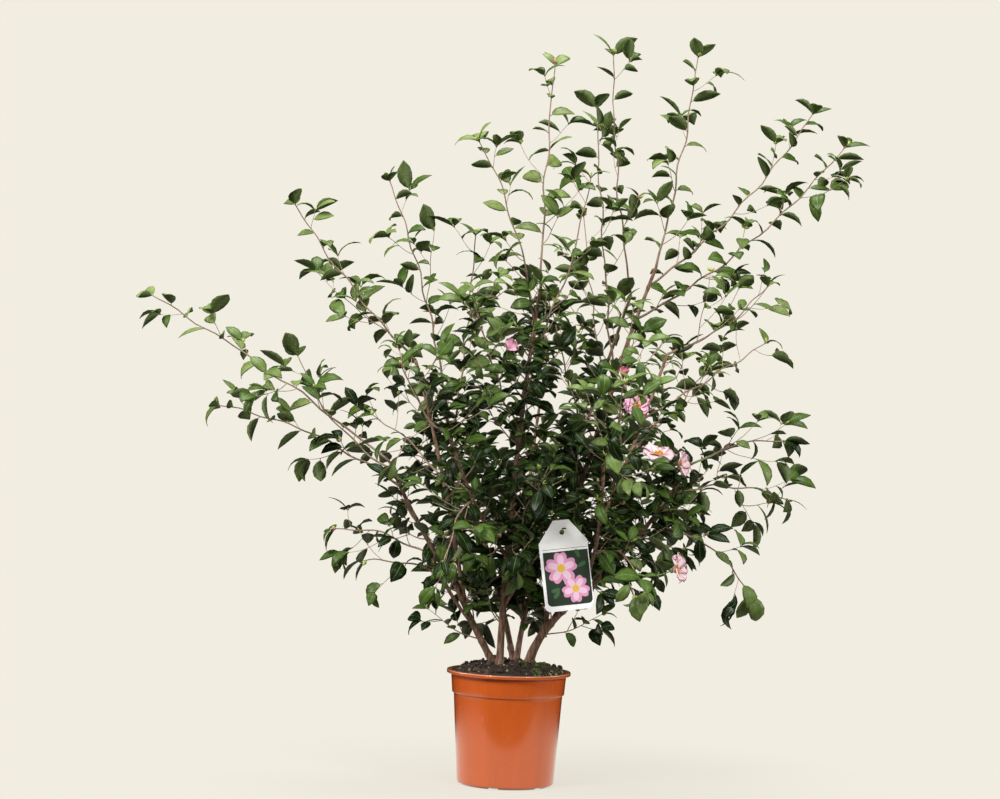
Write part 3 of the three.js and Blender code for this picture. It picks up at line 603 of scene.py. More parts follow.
class Skin:
    """Surfaces that are gathered into one mesh."""

    def __init__(self):
        self.points, self.corners, self.sizes, self.slots = [], [], [], []
        self.count = 0

    def add(self, points, faces, slots):
        """Adds points (n, 3) and faces (f, corners) with a material slot for each face."""
        faces = np.asarray(faces)
        self.points.append(points.reshape(-1, 3))
        self.corners.append((faces + self.count).ravel())
        self.sizes.append(np.full(len(faces), faces.shape[1]))
        self.slots.append(np.broadcast_to(slots, len(faces)))
        self.count += len(self.points[-1])

    def tubes(self, rings, slots=0):
        """Adds closed tubes from their rings, an array (tube, ring, corner, xyz).

        Corner k of a ring is joined to corner k of the next. A fan round the middle of the first ring
        and of the last closes the ends. Corners run anticlockwise seen from the tube's far end.
        Slots are broadcast to (tube, ring - 1, corner)."""
        tubes, count, corners = rings.shape[:3]
        slots = np.broadcast_to(slots, (tubes, count - 1, corners))
        number = np.arange(rings[..., 0].size).reshape(tubes, count, corners)
        beside = np.roll(number, -1, axis=2)
        sides = np.stack([number[:, :-1], beside[:, :-1], beside[:, 1:], number[:, 1:]], axis=-1)
        self.add(rings, sides.reshape(-1, 4), slots.ravel())
        for ring in (0, -1):
            middles = rings[:, ring].mean(axis=1)
            rim = np.concatenate([rings[:, ring], middles[:, None]], axis=1)
            number = np.arange(tubes)[:, None] * (corners + 1) + np.arange(corners)
            beside = np.roll(number, -1, axis=1)
            middle = np.broadcast_to(np.arange(tubes)[:, None] * (corners + 1) + corners, number.shape)
            fan = (middle, number, beside) if ring else (middle, beside, number)
            self.add(rim, np.stack(fan, axis=-1).reshape(-1, 3), slots[:, ring].ravel())

    def piece(self, name, materials, slot, replaced, smooth=True):
        """Makes the mesh and its object, which rides on the root and stands for the nodes named."""
        mesh = bpy.data.meshes.new(name)
        points, corners = np.concatenate(self.points), np.concatenate(self.corners)
        sizes, slots = np.concatenate(self.sizes), np.concatenate(self.slots)
        mesh.vertices.add(len(points))
        mesh.vertices.foreach_set("co", points.astype(np.float32).ravel())
        mesh.loops.add(len(corners))
        mesh.loops.foreach_set("vertex_index", corners.astype(np.int32))
        mesh.polygons.add(len(sizes))
        mesh.polygons.foreach_set("loop_start", (np.cumsum(sizes) - sizes).astype(np.int32))
        mesh.polygons.foreach_set("material_index", slots.astype(np.int32))
        mesh.polygons.foreach_set("use_smooth", np.full(len(sizes), smooth))
        for material in materials:
            mesh.materials.append(material)
        mesh.update(calc_edges=True)
        self.weld(mesh)
        piece = bpy.data.objects.new(name, mesh)
        bpy.context.scene.collection.objects.link(piece)
        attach(piece, "root")
        if replaced:
            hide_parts(*replaced)

    @staticmethod
    def weld(mesh):
        """Merges points that coincide, so that every surface is closed."""
        work = bmesh.new()
        work.from_mesh(mesh)
        bmesh.ops.remove_doubles(work, verts=work.verts, dist=WELD)
        work.to_mesh(mesh)
        work.free()


def rings_round(middles, axes, radii, corners):
    """Rings round points: middle + radius (side cos a + other side sin a), a once round.

    Middles and axes are (tube, ring, xyz) and radii broadcast to (tube, ring, corner)."""
    first = axes[:, axes.shape[1] // 2]
    level = unit(np.stack([first[:, 1], -first[:, 0], 1e-4 * np.ones(len(first))], axis=-1))[:, None]
    side = unit(level - axes * (level * axes).sum(-1, keepdims=True))
    other = np.cross(axes, side)
    angle = np.linspace(0, 2 * math.pi, corners, endpoint=False)[:, None]
    spokes = side[:, :, None] * np.cos(angle) + other[:, :, None] * np.sin(angle)
    return middles[:, :, None] + spokes * np.broadcast_to(radii, spokes.shape[:3])[..., None]


def curve_rings(curves, count, corners):
    """Rings round several curves, at count even places along each."""
    t = np.linspace(0, 1, count)
    middles = np.stack([curve.point(t) for curve in curves])
    axes = np.stack([curve.tangent(t) for curve in curves])
    radii = np.stack([curve.radius(t) for curve in curves])[..., None]
    return rings_round(middles, axes, radii, corners)


BARK = {
    "step": 0.0035, "corners": 18, "flare": 0.003, "flare_length": 0.02, "collar": 0.3,
    "collar_length": 0.012, "lengthwise": 0.3, "relief": 0.07, "knot": 0.22, "knot_gap": 0.035,
    "knot_length": 0.0035, "knot_angle": 0.75, "scar": 0.4, "scar_length": 0.003,
}
TINTS = 4

# The section of a leaf: how far across and how far up each corner is, from edge to edge over the top
# and back along the rib beneath.
RIB = 0.03
LEAF_ACROSS = np.array([1, 0.55, RIB, -RIB, -0.55, -1, 0])
LEAF_UP = np.array([0, 0.5, 0.55, 0.55, 0.5, 0, -0.7])
LEAF_SLOTS = np.array([0, 0, 2, 0, 0, 1, 1])
LEAF_STATIONS = np.array([0, 0.09, 0.26, 0.48, 0.7, 0.88, 1])
STALK = 0.09
BLADE = {
    "arc": 1.35, "root": 0.72, "tip": 0.82, "drawn_out": 0.3, "stalk_half": 0.0007, "stalk_thick": 0.0011,
    "thin": 0.0004, "root_thick": 0.0004, "curl": 0.9, "fold": 1.6, "drawn_from": 0.72,
}


def leaf_rings(leaves, widths, folds):
    """Leaves as closed tubes with a flat section.

    The midrib runs along an arc of the leaf's bend. The half width is a power curve that is 0 at both
    ends and widest before the middle, with the tip drawn out. Each half rises from the rib by its fold,
    and its edge curls down. The first tenth is the stalk."""
    root = np.stack([leaf.root for leaf in leaves])
    way = np.stack([leaf.way for leaf in leaves])
    normal = np.stack([leaf.normal for leaf in leaves])
    length = np.array([leaf.length for leaf in leaves])[:, None]
    bend = np.array([leaf.bend for leaf in leaves])[:, None]
    stations = np.concatenate([[0], STALK + (1 - STALK) * LEAF_STATIONS])
    angle = bend * stations ** BLADE["arc"]
    steps = np.diff(stations, prepend=0) * length
    forward = np.cumsum(np.cos(angle) * steps, axis=1)
    down = np.cumsum(np.sin(angle) * steps, axis=1)
    middle = root[:, None] + way[:, None] * forward[..., None] - normal[:, None] * down[..., None]
    raised = normal[:, None] * np.cos(angle)[..., None] + way[:, None] * np.sin(angle)[..., None]
    across = np.cross(normal, way)[:, None, None]
    v = np.concatenate([[0], LEAF_STATIONS])
    blade = v ** BLADE["root"] * (1 - v) ** BLADE["tip"]
    blade *= 1 - BLADE["drawn_out"] * smooth_step(BLADE["drawn_from"], 1, v)
    half = np.maximum(length * widths[:, None] * blade / blade.max() / 2, BLADE["stalk_half"])
    thick = np.where(v == 0, BLADE["stalk_thick"], BLADE["thin"] + BLADE["root_thick"] * (1 - v))[None]
    side = LEAF_ACROSS * half[..., None]
    lift = folds[:, None, None] * np.abs(side) * (1 - BLADE["curl"] * np.abs(LEAF_ACROSS)) * BLADE["fold"]
    lift = lift + LEAF_UP * thick[..., None]
    return middle[:, :, None] + across * side[..., None] + raised[:, :, None] * lift[..., None]


def leaf_slots(leaves):
    """A material slot for each face of the leaves: the tint above, a duller green beneath, and the rib. The
    deep-tinted sprays get a darker underside, as painted shade.
    """
    tints = np.array([leaf.tint for leaf in leaves])[:, None, None]
    # Painted shade: leaves of the deep tint, which grow in the shaded heart of the crown, get the darker
    # underside, and all others the paler one.
    under = TINTS + (tints > 0)
    slots = np.where(LEAF_SLOTS == 0, tints, np.where(LEAF_SLOTS == 1, under, TINTS + 2))
    slots = np.repeat(slots, len(LEAF_STATIONS), axis=1)
    slots[:, 0] = TINTS + 2
    return slots


def bark_rings(curve, foot, seed):
    """A limb's rings: its even taper, a flared foot or a collar, the scars of old leaves, and bark relief.

    Relief is noise in a space where the way along the limb is shortened, so that it runs lengthwise."""
    chance = np.random.default_rng(seed)
    count = max(10, round(curve.length / BARK["step"]))
    t = np.linspace(0, 1, count)
    way, angle = t * curve.length, np.linspace(0, 2 * math.pi, BARK["corners"], endpoint=False)
    radius = curve.radius(t)
    flare = BARK["flare"] * np.exp(-way / BARK["flare_length"])
    collar = BARK["collar"] * radius * np.exp(-way / BARK["collar_length"])
    radius = radius + (flare if foot else collar)
    s, a = np.meshgrid(way, angle, indexing="ij")
    girth = curve.radii[0]
    place = np.stack([np.cos(a) * girth, np.sin(a) * girth, s * BARK["lengthwise"]], axis=-1)
    relief = BARK["relief"] * ripples(place, girth * 1.3, seed)
    for _ in range(round(curve.length / BARK["knot_gap"])):
        at, turn = chance.uniform(0.03, 0.97) * curve.length, chance.uniform(0, 2 * math.pi)
        off = np.angle(np.exp(1j * (a - turn)))
        bump = ((s - at) / BARK["knot_length"]) ** 2 + (off / BARK["knot_angle"]) ** 2
        relief += BARK["knot"] * np.exp(-bump)
        relief += BARK["scar"] * BARK["knot"] * np.exp(-(((s - at) / BARK["scar_length"]) ** 2))
    radii = radius[:, None] * (1 + relief)
    axes = curve.tangent(t)
    if foot:
        risen = smooth_step(0, BARK["flare_length"], way)[:, None]
        axes = unit(axes * risen + UP * (1 - risen))
    return rings_round(curve.point(t)[None], axes[None], radii[None], BARK["corners"])


def bud_rings(roots, ways, lengths, girths):
    """Buds: pointed ovals, whose radius is girth * sin(pi v)^0.8 * (1 - 0.35 v) at the share v."""
    v = np.array([0.02, 0.22, 0.5, 0.8, 0.98])
    middles = roots[:, None] + ways[:, None] * (v * lengths[:, None])[..., None]
    radii = girths[:, None, None] * (np.sin(math.pi * v) ** 0.8 * (1 - 0.35 * v))[:, None]
    return rings_round(middles, np.repeat(ways[:, None], len(v), axis=1), radii, 5)


def frame_of(facing):
    """Two directions that, with the one a bloom faces, make a right-handed frame."""
    facing = unit(np.array(facing, float))
    side = unit(np.cross([0, 0, 1.0], facing) + 1e-6)
    return facing, side, np.cross(facing, side)


PETAL_ACROSS = np.array([1, 0.66, 0.33, 0, -0.33, -0.66, -1, -0.5, 0, 0.5])
PETAL_UNDER = np.array([0, 0, 0, 0, 0, 0, 0, 1, 1, 1])
PETAL_STATIONS = np.linspace(0, 1, 10)
PETAL = {
    "turn": 0.25, "sizes": (0.9, 1.08), "length": 1.12, "root_angle": 14, "closed": 18, "opens": 72,
    "uneven": (0.92, 1.1), "opening": 0.6, "notch": 0.13, "notch_width": 0.28, "shoulder": 0.12,
    "root_half": 0.07, "half": 0.52, "widening": 0.62, "round": 0.8, "ripple": 0.05, "ripples": 1.3,
    "cup": 0.16, "thick": 0.0004, "sunk": 0.12,
}
STAMEN = {
    "count": 64, "lean": (0.05, 0.75), "length": (0.32, 0.46), "aside": 0.09, "sunk": 0.1,
    "stations": (0, 0.4, 0.78, 0.86, 0.95, 1), "radii": (0.3, 0.28, 0.28, 0.95, 0.85, 0.3),
}


def petal_rings(bloom, chance):
    """A bloom's petals as closed tubes with a flat section.

    Here u goes from -1 to 1 across a petal and v from 0 to 1 along it. The midline leaves the heart near
    the bloom's axis and opens by a power of v. The half width is a power of v with a round end, the end
    is notched, the edges cup up with u^2, and ripples grow towards the rim with v^2."""
    facing, side, other = frame_of(bloom.facing)
    centre = np.array(bloom.centre)
    u, v = np.meshgrid(PETAL_ACROSS, PETAL_STATIONS)
    first = math.radians(PETAL["root_angle"])
    rings = []
    for i in range(bloom.petals):
        turn = 2 * math.pi * (i + PETAL["turn"] * chance.uniform(-1, 1)) / bloom.petals
        out = side * math.cos(turn) + other * math.sin(turn)
        across = np.cross(facing, out)
        size = bloom.radius * chance.uniform(*PETAL["sizes"])
        opens = bloom.open * chance.uniform(*PETAL["uneven"]) * PETAL["opens"]
        opened = math.radians(PETAL["closed"] + opens)
        angle = first + (opened - first) * v ** PETAL["opening"]
        notch = PETAL["notch"] * np.exp(-((u / PETAL["notch_width"]) ** 2)) * v**3
        reach = v * (1 - notch - PETAL["shoulder"] * u * u * v**2) * size * PETAL["length"]
        inward = facing * np.sin(angle)[..., None] - out * np.cos(angle)[..., None]
        midline = facing * np.cos(angle)[..., None] + out * np.sin(angle)[..., None]
        rounding = np.sqrt(1 - PETAL["round"] * v**7)
        half = size * (PETAL["root_half"] + PETAL["half"] * v ** PETAL["widening"] * rounding)
        waves = np.sin(2 * math.pi * (PETAL["ripples"] * u + chance.uniform(0, 1))) * v**2
        lift = size * (PETAL["cup"] * u * u * (0.4 + v) + PETAL["ripple"] * waves)
        lift -= PETAL_UNDER * PETAL["thick"]
        place = centre - facing * bloom.radius * PETAL["sunk"] + midline * reach[..., None]
        rings.append(place + across * (u * half)[..., None] + inward * lift[..., None])
    return np.stack(rings)


def stamen_rings(bloom, chance):
    """The yellow tuft of a bloom: thin filaments that spread from its heart, each with a thick end."""
    facing, side, other = frame_of(bloom.facing)
    count = STAMEN["count"] if bloom.open > 0.5 else STAMEN["count"] // 3
    turn, lean = chance.uniform(0, 2 * math.pi, count), chance.uniform(*STAMEN["lean"], count)
    out = side * np.cos(turn)[:, None] + other * np.sin(turn)[:, None]
    ways = unit(facing + out * lean[:, None])
    length = bloom.radius * chance.uniform(*STAMEN["length"], count)
    v, radii = np.array(STAMEN["stations"]), np.array(STAMEN["radii"]) * 0.001
    foot = np.array(bloom.centre) + (out * STAMEN["aside"] - facing * STAMEN["sunk"]) * bloom.radius
    middles = foot[:, None] + ways[:, None] * (v * length[:, None])[..., None]
    return rings_round(middles, np.repeat(ways[:, None], len(v), axis=1), radii[:, None], 4)


def turned_rings(profile, corners):
    """One ring round the Z axis for each (radius, height) of a profile."""
    profile = np.array(profile)
    angle = np.linspace(0, 2 * math.pi, corners, endpoint=False)
    circle = np.stack([np.cos(angle), np.sin(angle), np.zeros(corners)], axis=-1)
    return (profile[:, 0, None, None] * circle + profile[:, 1, None, None] * UP)[None]


def rounded(points, radius, steps):
    """A profile with its inner corners cut by short arcs: quadratic curves from side to side of each."""
    points = np.array(points)
    out = [points[0]]
    for before, corner, after in zip(points[:-2], points[1:-1], points[2:]):
        cut = min(radius, *(np.linalg.norm(end - corner) * 0.45 for end in (before, after)))
        first, last = corner + unit(before - corner) * cut, corner + unit(after - corner) * cut
        for t in np.linspace(0, 1, steps + 1):
            out.append(first * (1 - t) ** 2 + corner * 2 * t * (1 - t) + last * t * t)
    out.append(points[-1])
    return np.array(out)


def divided(profile, size):
    """A profile with its long straight stretches divided into even parts no longer than size."""
    out = [profile[0]]
    for start, end in zip(profile[:-1], profile[1:]):
        parts = max(1, math.ceil(np.linalg.norm(end - start) / size))
        out += [start + (end - start) * i / parts for i in range(1, parts + 1)]
    return np.array(out)


def lump_rings(centres, sizes, seed, squash=0.7, stations=5, corners=6):
    """Rough lumps: balls round chance axes, each corner nearer or further by chance."""
    chance = np.random.default_rng(seed)
    ways = unit(chance.normal(size=centres.shape))
    v = np.linspace(0.06, 0.94, stations)
    middles = centres[:, None] + ways[:, None] * ((v - 0.5) * 2 * sizes[:, None])[..., None]
    rough = chance.uniform(0.65, 1.25, (len(centres), stations, corners))
    radii = sizes[:, None, None] * np.sqrt(1 - (2 * v - 1) ** 2)[:, None] * rough * squash
    return rings_round(middles, np.repeat(ways[:, None], stations, axis=1), radii, corners)


# ---------------------------------------------------------------- materials


NOISE_ROUGHNESS = 0.55


class Wire:
    """A value in a shader. Arithmetic on it adds Math nodes."""

    def __init__(self, shader, socket):
        self.shader, self.socket = shader, socket

    def math(self, operation, *values):
        """The result of a Math node."""
        return self.shader.node("ShaderNodeMath", {"operation": operation}, *values)

    def __add__(self, other):
        return self.math("ADD", self, other)

    def __rsub__(self, other):
        return self.math("SUBTRACT", other, self)

    def __mul__(self, other):
        return self.math("MULTIPLY", self, other)

    __radd__ = __add__
    __rmul__ = __mul__

    def between(self, low, high):
        """0 below low, 1 above high, and even in between."""
        settings = {"interpolation_type": "SMOOTHSTEP", "clamp": True}
        return self.shader.node("ShaderNodeMapRange", settings, self, low, high)


class Shader:
    """A material and its nodes, round one Principled shader."""

    def __init__(self, name, **constants):
        self.material = bpy.data.materials.new(name)
        self.material.use_nodes = True
        self.tree = self.material.node_tree
        self.surface = self.tree.nodes["Principled BSDF"]
        for key, value in constants.items():
            label = key.replace("_", " ").title().replace("Ior", "IOR")
            self.surface.inputs[label].default_value = value
        self.place = self.node("ShaderNodeTexCoord", {}, out="Object")

    def node(self, kind, settings, *values, out=0, **named):
        """Adds a node with its settings, then the values or links of its sockets, and gives one output."""
        node = self.tree.nodes.new(kind)
        for key, value in settings.items():
            if key == "stops":
                self.fill_ramp(node.color_ramp, value)
            else:
                setattr(node, key, value)
        for key, value in [*enumerate(values), *named.items()]:
            self.feed(node.inputs[key], value)
        return Wire(self, node.outputs[out])

    def feed(self, socket, value):
        """Links a wire to a socket, or sets the socket's own value."""
        if isinstance(value, Wire):
            self.tree.links.new(value.socket, socket)
        else:
            socket.default_value = value

    @staticmethod
    def fill_ramp(ramp, stops):
        """Sets a colour ramp's stops, each a position and a colour."""
        while len(ramp.elements) < len(stops):
            ramp.elements.new(1)
        for element, (position, colour) in zip(ramp.elements, stops):
            element.position, element.color = position, (*colour[:3], 1)

    def noise(self, scale, detail, stretch=(1, 1, 1)):
        """Noise over the object, from 0 to 1, with features of about 1 / scale metres."""
        place = self.node("ShaderNodeMapping", {}, Vector=self.place, Scale=stretch)
        sockets = {"Vector": place, "Scale": scale, "Detail": detail, "Roughness": NOISE_ROUGHNESS}
        return self.node("ShaderNodeTexNoise", {}, out="Fac", **sockets)

    def ramp(self, share, *stops):
        """Colours along a ramp."""
        return self.node("ShaderNodeValToRGB", {"stops": stops}, share)

    def split(self, vector):
        """The three numbers of a vector."""
        node = self.node("ShaderNodeSeparateXYZ", {}, vector).socket.node
        return [Wire(self, output) for output in node.outputs]

    def blend(self, share, first, second):
        """Colour first where the share is 0 and second where it is 1."""
        node = self.tree.nodes.new("ShaderNodeMix")
        node.data_type = "RGBA"
        self.feed(node.inputs[0], share)
        self.feed(node.inputs[6], first)
        self.feed(node.inputs[7], second)
        return Wire(self, node.outputs[2])

    def finish(self, colour, roughness, height, depth, strength):
        """Feeds the surface: its colour, its roughness, and a bump of a height, so deep in metres."""
        bump = {"Strength": strength, "Distance": depth, "Height": height}
        self.feed(self.surface.inputs["Base Color"], colour)
        self.feed(self.surface.inputs["Roughness"], roughness)
        self.feed(self.surface.inputs["Normal"], self.node("ShaderNodeBump", {}, out="Normal", **bump))
        return self.material


TONES = {
    "bud": (0.36, 0.42, 0.1), "bud_pink": (0.6, 0.3, 0.25), "young_streak": (0.42, 0.3, 0.14, 1),
    "petal_white": (0.86, 0.72, 0.68), "petal_rose": (0.8, 0.4, 0.56), "petal_red": (0.66, 0.18, 0.26),
    "stamen": (0.8, 0.55, 0.07), "anther": (0.75, 0.36, 0.02), "sepal": (0.16, 0.24, 0.06),
    # The pale pink for the top of the pot's rim is a painted highlight.
    "dust": (0.62, 0.3, 0.17, 1), "painted_lip_highlight": (0.78, 0.42, 0.28, 1), "speck": (0.1, 0.05, 0.03, 1),
    "chip_dark": (0.22, 0.15, 0.09, 1), "chip_light": (0.45, 0.36, 0.25, 1),
    "moss_dark": (0.03, 0.05, 0.012, 1), "moss": (0.09, 0.14, 0.03, 1),
    "moss_fresh": (0.07, 0.11, 0.02, 1), "moss_light": (0.2, 0.28, 0.06, 1),
}


def shade(colour, factor):
    """A colour made lighter or darker."""
    return tuple(min(1.0, c * factor) for c in colour[:3]) + (1.0,)


def leaf_top(name, colour):
    """The glossy upper side of a leaf: a soft mottle, and fine pebbling between the veins."""
    s = Shader(name, coat_weight=0.06, coat_roughness=0.16, specular_ior_level=0.16)
    mottle = s.noise(70, 2)
    tone = s.ramp(mottle, (0.3, shade(colour, 0.72)), (0.55, colour), (0.8, shade(colour, 1.3)))
    pebbles = s.noise(420, 2)
    return s.finish(tone, 0.32 + mottle * 0.2, pebbles, 0.0003, 0.1)


def leaf_under(name, colour):
    """The dull, paler underside of a leaf."""
    s = Shader(name)
    mottle = s.noise(90, 3)
    tone = s.ramp(mottle, (0.3, shade(colour, 0.85)), (0.75, shade(colour, 1.15)))
    return s.finish(tone, 0.5 + mottle * 0.15, s.noise(800, 2), 0.0005, 0.4)


def plain_growth(name, colour, roughness, spread=0.25, scale=160):
    """A small living surface, such as a rib, a bud or a petal, with a soft change of tone."""
    s = Shader(name)
    share = s.noise(scale, 3)
    tone = s.ramp(share, (0.3, shade(colour, 1 - spread)), (0.7, shade(colour, 1 + spread)))
    return s.finish(tone, roughness + share * 0.1, s.noise(scale * 5, 2), 0.0003, 0.4)


def bark_material(name, dark, light, streak):
    """Smooth camellia bark: lengthwise streaks and pale flecks, with fine cracks."""
    s = Shader(name)
    streaks = s.noise(260, 4, (1, 1, 0.16))
    flecks = s.noise(420, 3, (1, 1, 0.5)).between(0.6, 0.7)
    tone = s.ramp(streaks, (0.3, dark), (0.5, light), (0.72, streak))
    tone = s.blend(flecks * 0.4, tone, shade(streak, 1.25))
    cracks = s.noise(1400, 3, (1, 1, 0.4))
    return s.finish(tone, 0.62 + streaks * 0.25, streaks * 0.7 + cracks * 0.3, 0.0012, 0.9)


def pot_plastic(colour, top):
    """Glossy moulded plastic: flow marks, fine scuffs, a few specks of soil, and a painted highlight that
    makes the top of the rim pale.
    """
    s = Shader("pot_plastic", coat_weight=1.0, coat_roughness=0.1, specular_ior_level=0.5)
    flow = s.noise(26, 3, (1, 1, 0.12))
    tone = s.ramp(flow, (0.3, shade(colour, 0.92)), (0.7, shade(colour, 1.06)))
    dust = s.noise(55, 5, (1, 1, 0.6)).between(0.58, 0.85)
    tone = s.blend(dust * 0.14, tone, TONES["dust"])
    # Painted highlight: the top two millimetres of the rim are blended towards a pale pink, as where the
    # lamps catch the lip.
    painted_lip_highlight = s.split(s.place)[2].between(top - 0.0025, top - 0.0005)
    tone = s.blend(painted_lip_highlight * 0.6, tone, TONES["painted_lip_highlight"])
    specks = s.noise(330, 2).between(0.71, 0.75)
    tone = s.blend(specks * 0.7, tone, TONES["speck"])
    scuffs = s.noise(500, 3, (1, 1, 0.05)).between(0.6, 0.75)
    return s.finish(tone, 0.22 + dust * 0.2 + scuffs * 0.16, flow * 0.6 + scuffs * 0.1, 0.0006, 0.25)


def soil_material(name, dark, light):
    """Damp potting soil: dark peat with browner fibres."""
    s = Shader(name)
    fibres = s.noise(420, 6)
    tone = s.ramp(fibres, (0.35, dark), (0.6, light), (0.75, shade(light, 1.7)))
    return s.finish(tone, 0.85 + fibres * 0.12, fibres, 0.002, 1.0)


def card_material(name, colour, painted_glow=0.0):
    """Printed, coated card: nearly even, with a faint texture. It may be given a painted glow: an emission
    that makes it lighter than the lamps light it.
    """
    # The emission is painted light: the card glows though it is no lamp.
    s = Shader(name, coat_weight=0.15, emission_color=shade(colour, 1), emission_strength=painted_glow)
    grain = s.noise(900, 3)
    tone = s.ramp(grain, (0.3, shade(colour, 0.96)), (0.7, shade(colour, 1.03)))
    return s.finish(tone, 0.32 + grain * 0.1, grain, 0.0001, 0.2)


# ---------------------------------------------------------------- settings


def colour_property(name, description, default):
    """A colour that a user can change."""
    return FloatVectorProperty(
        name=name, description=description, default=default, size=3, min=0, max=1, subtype="COLOR"
    )


class CamelliaPlantSettings(PropertyGroup):
    """Sizes and colours of the plant."""

    leaf_scale: FloatProperty(
        name="Leaf size", description="Size of the leaves against real ones", default=1.0,
        min=0.5, max=2,
    )
    leaf_width: FloatProperty(
        name="Leaf width", description="Width of a leaf as a share of its length", default=0.48,
        min=0.2, max=1,
    )
    # The deep green is the colour of old leaves and also painted shade: it goes mostly to sprays in the
    # shaded heart of the crown.
    leaf_deep: colour_property("Deep green", "Old leaves", (0.009, 0.024, 0.0022))
    leaf_mid: colour_property("Middle green", "Most leaves", (0.058, 0.108, 0.015))
    leaf_fresh: colour_property("Fresh green", "Lighter leaves", (0.118, 0.178, 0.042))
    leaf_young: colour_property("Young green", "New growth", (0.185, 0.25, 0.07))
    underside: colour_property("Underside", "The underside of the leaves", (0.055, 0.08, 0.02))
    rib: colour_property("Rib", "The midrib and the stalk of a leaf", (0.15, 0.2, 0.06))
    bark_dark: colour_property("Dark bark", "Old bark in its hollows", (0.045, 0.022, 0.014))
    bark_light: colour_property("Light bark", "Old bark where it is lit", (0.23, 0.12, 0.07))
    shoot: colour_property("Shoot", "The bark of young shoots", (0.36, 0.25, 0.175))
    petal: colour_property("Petal", "The pink of the blossom", (0.85, 0.5, 0.62))


class CamelliaPotSettings(PropertyGroup):
    """Sizes and colours of the pot, its soil and the label."""

    height: FloatProperty(
        name="Height", description="Height of the pot", default=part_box("pot")[1].z, unit="LENGTH"
    )
    rim_radius: FloatProperty(
        name="Rim radius", description="Radius of the pot's lip", default=0.115, unit="LENGTH"
    )
    wall: FloatProperty(name="Wall", description="Thickness of the wall", default=0.0024, unit="LENGTH")
    crumbs: IntProperty(name="Crumbs", description="Number of crumbs on the soil", default=1500, min=0)
    plastic: colour_property("Plastic", "Colour of the pot", (0.575, 0.1, 0.014))
    soil: colour_property("Soil", "Colour of damp peat", (0.021, 0.013, 0.008))
    card: colour_property("Card", "Colour of the label", (0.95, 0.95, 0.93))


class CamelliaStageSettings(PropertyGroup):
    """The floor, the light and the camera."""

    backdrop: colour_property("Backdrop", "Colour of the floor and behind it", (0.888, 0.847, 0.753))
    light: FloatProperty(name="Light", description="Power of the main light", default=440, min=0)
    room: FloatProperty(name="Room", description="Strength of the light from all round", default=0.28)
    distance: FloatProperty(
        name="Camera distance", description="From the plant to the camera", default=4.5, unit="LENGTH"
    )
    camera_height: FloatProperty(
        name="Camera height", description="Height of the camera", default=0.66, unit="LENGTH"
    )
    lens: FloatProperty(name="Lens", description="Focal length in millimetres", default=87.1)


# ---------------------------------------------------------------- the plant's pieces

BUD = {"length": 0.0075, "girth": 0.0019}
FLOWER_BUD = {"length": 0.0125, "girth": 0.0046, "on_mains": 0.9, "on_sides": 0.15, "pink": 0.15}
BLOOM_SPACE = {"size": 1.15, "ahead": 0.7}


class Bloom(NamedTuple):
    """A bloom: the mass whose stem carries it and where, its centre, and the way that it faces.

    It is open by a share, and has so many petals of one of the pinks."""

    on: str
    at: float
    centre: tuple
    facing: tuple
    radius: float
    open: float
    petals: int
    pink: int


BLOOMS = (
    Bloom("front_high", 0.3, (0.247, -0.25, 0.618), (0.1, -0.3, 0.95), 0.032, 0.8, 6, 0),
    Bloom("right_low", 0.3, (0.285, -0.205, 0.606), (0.8, -0.4, 0.1), 0.026, 0.55, 6, 0),
    Bloom("bottom_right", 0.75, (0.282, -0.24, 0.42), (0.85, -0.45, 0.35), 0.03, 0.6, 5, 0),
    Bloom("front_centre", 0.45, (-0.022, -0.228, 0.8), (0.3, -0.8, 0.4), 0.022, 0.25, 6, 1),
    Bloom("front_high", 0.42, (0.203, -0.335, 0.703), (-0.1, -0.9, 0.4), 0.024, 0.6, 8, 2),
    Bloom("front_high", 0.6, (0.176, -0.345, 0.755), (0.1, -0.5, 0.8), 0.017, 0.1, 5, 3),
)


@functools.lru_cache(maxsize=1)
def grown_plant(scale):
    """The places of the limbs and masses, each mass grown, and then the spurs of each limb."""
    space = Space()
    growers = [
        Grower(space, index, stem, mass.kind, mass.bare, mass.fork, mass.leafy, mass.fresh)
        for index, (mass, stem) in enumerate(zip(MASSES, space.stems))
    ]
    for number, limb in enumerate(LIMBS[:-1]):
        curve = space.limbs[limb.name]
        lowest = (SPUR["lowest"] - curve.start[2]) / (curve.tip[2] - curve.start[2])
        bare = max(SPUR["first"], lowest)
        if bare < SPUR["last"]:
            growers.append(Grower(space, len(MASSES) + number, curve, "spur", bare, leafy=limb.leafy))
    return space, [grower.grow(scale) for grower in growers]


def plant():
    """The plant with leaves of the size that is set, grown once for each size."""
    return grown_plant(bpy.context.scene.camellia_plant.leaf_scale)


REGIONS = ("left", "middle", "right", "front", "back")
EDGES = {"back": 0.2, "left": -0.2, "left_front": -0.3, "right": 0.25, "right_front": -0.24, "front": -0.2}


def region_of(grower):
    """The side of the crown that the tip of a mass or a limb is on."""
    x, y, _ = grower.stem.tip
    if y > EDGES["back"]:
        return "back"
    if x < EDGES["left"] and y > EDGES["left_front"]:
        return "left"
    if x > EDGES["right"] and y > EDGES["right_front"]:
        return "right"
    return "front" if y < EDGES["front"] else "middle"


def grown_in(region):
    """The masses of a region, grown, and the names of their nodes."""
    grown = [grower for grower in plant()[1] if region_of(grower) == region]
    return grown, ["foliage_" + MASSES[grower.index].name for grower in grown if not grower.on_limb]


